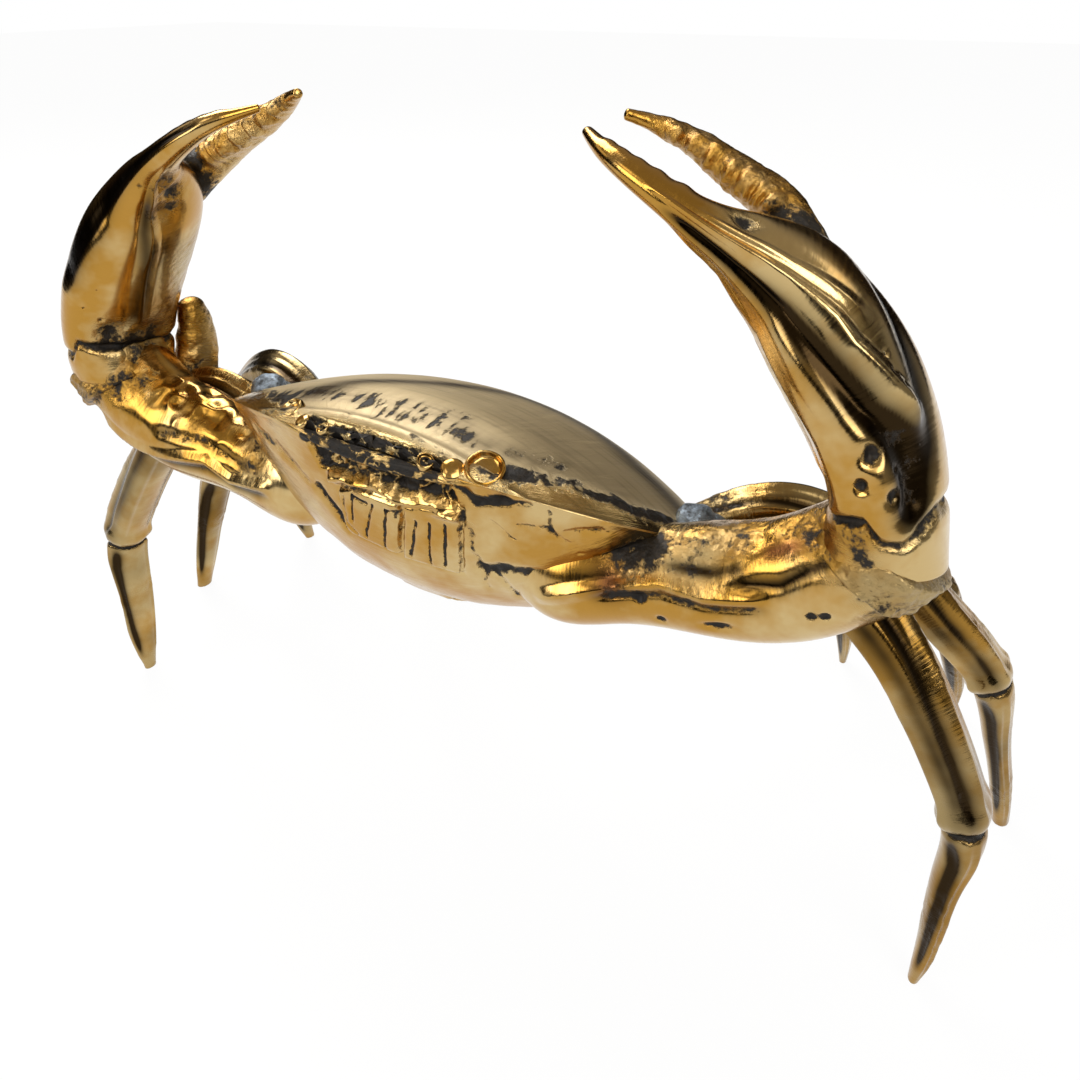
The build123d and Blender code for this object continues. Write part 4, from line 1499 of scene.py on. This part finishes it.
def mirrored_light(wall, ceiling):
    """The points of a unit dome, and the light that the metal mirrors from each.

    The light rises from the wall's to the ceiling's, and each window adds its level inside soft
    edges.
    """
    azimuth = np.radians(np.arange(0, 360, 3))
    elevation = np.radians(np.linspace(-3, 90, 63))
    level, turn = np.meshgrid(elevation, azimuth, indexing="ij")
    out = np.cos(level)
    direction = np.stack([-np.sin(turn) * out, np.cos(turn) * out, np.sin(level)], axis=-1)
    high = np.degrees(level)
    around = np.degrees(turn)
    to_ceiling = fade(24, 46, high)[..., None]
    light = np.asarray(wall)[:3] * (1 - to_ceiling) + np.asarray(ceiling)[:3] * to_ceiling
    for middle, height, half_width, half_height, amount in WINDOWS:
        beside = np.abs((around - middle + 180) % 360 - 180) * out
        above = np.abs(high - height)
        wide = 1 - fade(half_width - WINDOW_EDGE, half_width + WINDOW_EDGE, beside)
        tall = 1 - fade(half_height - WINDOW_EDGE, half_height + WINDOW_EDGE, above)
        light = light + (wide * tall)[..., None] * amount * WINDOW_TINT
    return direction, light


def placed(scene, name, data):
    """A new object of the scene that shows a mesh, a lamp or a camera."""
    made = bpy.data.objects.new(name, data)
    scene.collection.objects.link(made)
    return made


def glow_of(tree, colour):
    """Light of one colour at its own strength."""
    return add_node(tree, "ShaderNodeEmission", {"Color": colour, "Strength": 1.0}).outputs[0]


def add_floor(scene, studio):
    """A floor, white where a camera or mirror sees it and a matt colour for all other light."""
    half = FLOOR_HALF
    corners = [(-half, -half, 0), (half, -half, 0), (half, half, 0), (-half, half, 0)]
    mesh = bpy.data.meshes.new("floor")
    mesh.from_pydata(corners, [], [(0, 1, 2, 3)])
    material, tree = new_material("painted_floor")
    sight = seen_by(tree, "Is Camera Ray", "Is Glossy Ray", "Is Transmission Ray")
    part = worked_out(tree, "MULTIPLY", sight, FLOOR_GLOW)
    matt = add_node(tree, "ShaderNodeBsdfDiffuse", {"Color": tuple(studio.floor)}).outputs[0]
    glow = glow_of(tree, (1, 1, 1, 1))
    surface = add_node(tree, "ShaderNodeMixShader", {0: part, 1: matt, 2: glow}).outputs[0]
    add_node(tree, "ShaderNodeOutputMaterial", {"Surface": surface})
    mesh.materials.append(material)
    return placed(scene, "floor", mesh)


def add_room(scene, studio):
    """The dome round the crab, which nothing but a mirror sees."""
    direction, light = mirrored_light(tuple(studio.wall), tuple(studio.ceiling))
    rows, columns = direction.shape[:2]
    mesh = bpy.data.meshes.new("mirrored_room")
    inwards = grid_quads(rows, columns)[:, (0, 3, 2, 1)]
    mesh.from_pydata((direction.reshape(-1, 3) * ROOM_RADIUS).tolist(), [], inwards.tolist())
    layer = mesh.attributes.new("light", "FLOAT_COLOR", "POINT")
    tinted = np.concatenate([light.reshape(-1, 3), np.ones((rows * columns, 1))], axis=1)
    layer.data.foreach_set("color", tinted.astype(np.float32).ravel())
    material, tree = new_material("room_light")
    tint = add_node(tree, "ShaderNodeAttribute", attribute_name="light").outputs["Color"]
    add_node(tree, "ShaderNodeOutputMaterial", {"Surface": glow_of(tree, tint)})
    mesh.materials.append(material)
    room = placed(scene, "mirrored_room", mesh)
    room.visible_camera = False
    room.visible_diffuse = False
    room.visible_shadow = False
    room.visible_transmission = False
    return room


def add_lamps(scene):
    """Soft square lamps that point at the crab."""
    for name, (place, size, power) in LAMPS.items():
        data = bpy.data.lights.new(name, "AREA")
        data.energy = power
        data.size = size
        lamp = placed(scene, name, data)
        lamp.location = place
        lamp.rotation_euler = look_along(LAMPS_AIM - np.array(place)).to_euler()


def add_world(scene):
    """A white world, fainter for the light that it gives than where it is seen."""
    world = bpy.data.worlds.new("plain_white")
    scene.world = world
    world.use_nodes = True
    tree = world.node_tree
    tree.nodes.clear()
    level = carried_over(tree, seen_by(tree, "Is Camera Ray", "Is Glossy Ray"), 0, 1, 0.7, 1.0)
    sky = add_node(tree, "ShaderNodeBackground", {"Color": (1, 1, 1, 1), "Strength": level})
    add_node(tree, "ShaderNodeOutputWorld", {"Surface": sky.outputs[0]})


def add_camera(scene, studio):
    """The camera at its place, turned by its azimuth and elevation."""
    data = bpy.data.cameras.new("camera")
    data.lens = studio.lens
    data.sensor_width = 36
    data.clip_start = 0.005
    data.clip_end = 20
    camera = placed(scene, "camera", data)
    azimuth = np.radians(studio.camera_azimuth)
    elevation = np.radians(studio.camera_elevation)
    level = np.cos(elevation)
    sight_line = (-np.sin(azimuth) * level, np.cos(azimuth) * level, -np.sin(elevation))
    camera.location = studio.camera_place
    camera.rotation_euler = look_along(sight_line).to_euler()
    scene.camera = camera


class CRAB_OT_stage(CrabBuilder, bpy.types.Operator):
    """Builds the floor, the room that the metal mirrors, the lamps and the camera"""

    bl_idname = "crab.stage"
    bl_label = "Studio"

    def execute(self, context):
        scene = context.scene
        studio = scene.crab_studio
        add_floor(scene, studio)
        add_room(scene, studio)
        add_lamps(scene)
        add_world(scene)
        add_camera(scene, studio)
        scene.view_settings.view_transform = "Standard"
        return {"FINISHED"}


class CRAB_PT_panel(bpy.types.Panel):
    """Lists the crab's builders and settings"""

    bl_idname = "CRAB_PT_panel"
    bl_label = "Cast Brass Crab"
    bl_space_type = "VIEW_3D"
    bl_region_type = "UI"
    bl_category = "Crab"

    def draw(self, context):
        for builder in BUILDERS:
            self.layout.operator(builder.bl_idname)
        scene = context.scene
        for group in (scene.crab_shape, scene.crab_finish, scene.crab_studio):
            box = self.layout.box()
            for setting in group.__annotations__:
                box.prop(group, setting)


BUILDERS = (
    CRAB_OT_body,
    CRAB_OT_arms,
    CRAB_OT_claws,
    CRAB_OT_fingers,
    CRAB_OT_solder,
    CRAB_OT_legs,
    CRAB_OT_stage,
)
CLASSES = (CrabShape, CrabFinish, CrabStudio, *BUILDERS, CRAB_PT_panel)


def register():
    """Adds the classes and the scene's settings."""
    for cls in CLASSES:
        bpy.utils.register_class(cls)
    bpy.types.Scene.crab_shape = PointerProperty(type=CrabShape)
    bpy.types.Scene.crab_finish = PointerProperty(type=CrabFinish)
    bpy.types.Scene.crab_studio = PointerProperty(type=CrabStudio)


def unregister():
    """Removes what register added."""
    del bpy.types.Scene.crab_studio
    del bpy.types.Scene.crab_finish
    del bpy.types.Scene.crab_shape
    for cls in reversed(CLASSES):
        bpy.utils.unregister_class(cls)


def main():
    """Builds the whole scene."""
    register()
    bpy.ops.crab.body()
    bpy.ops.crab.arms()
    bpy.ops.crab.claws()
    bpy.ops.crab.fingers()
    bpy.ops.crab.solder()
    bpy.ops.crab.legs()
    bpy.ops.crab.stage()


if __name__ == "__main__":
    main()
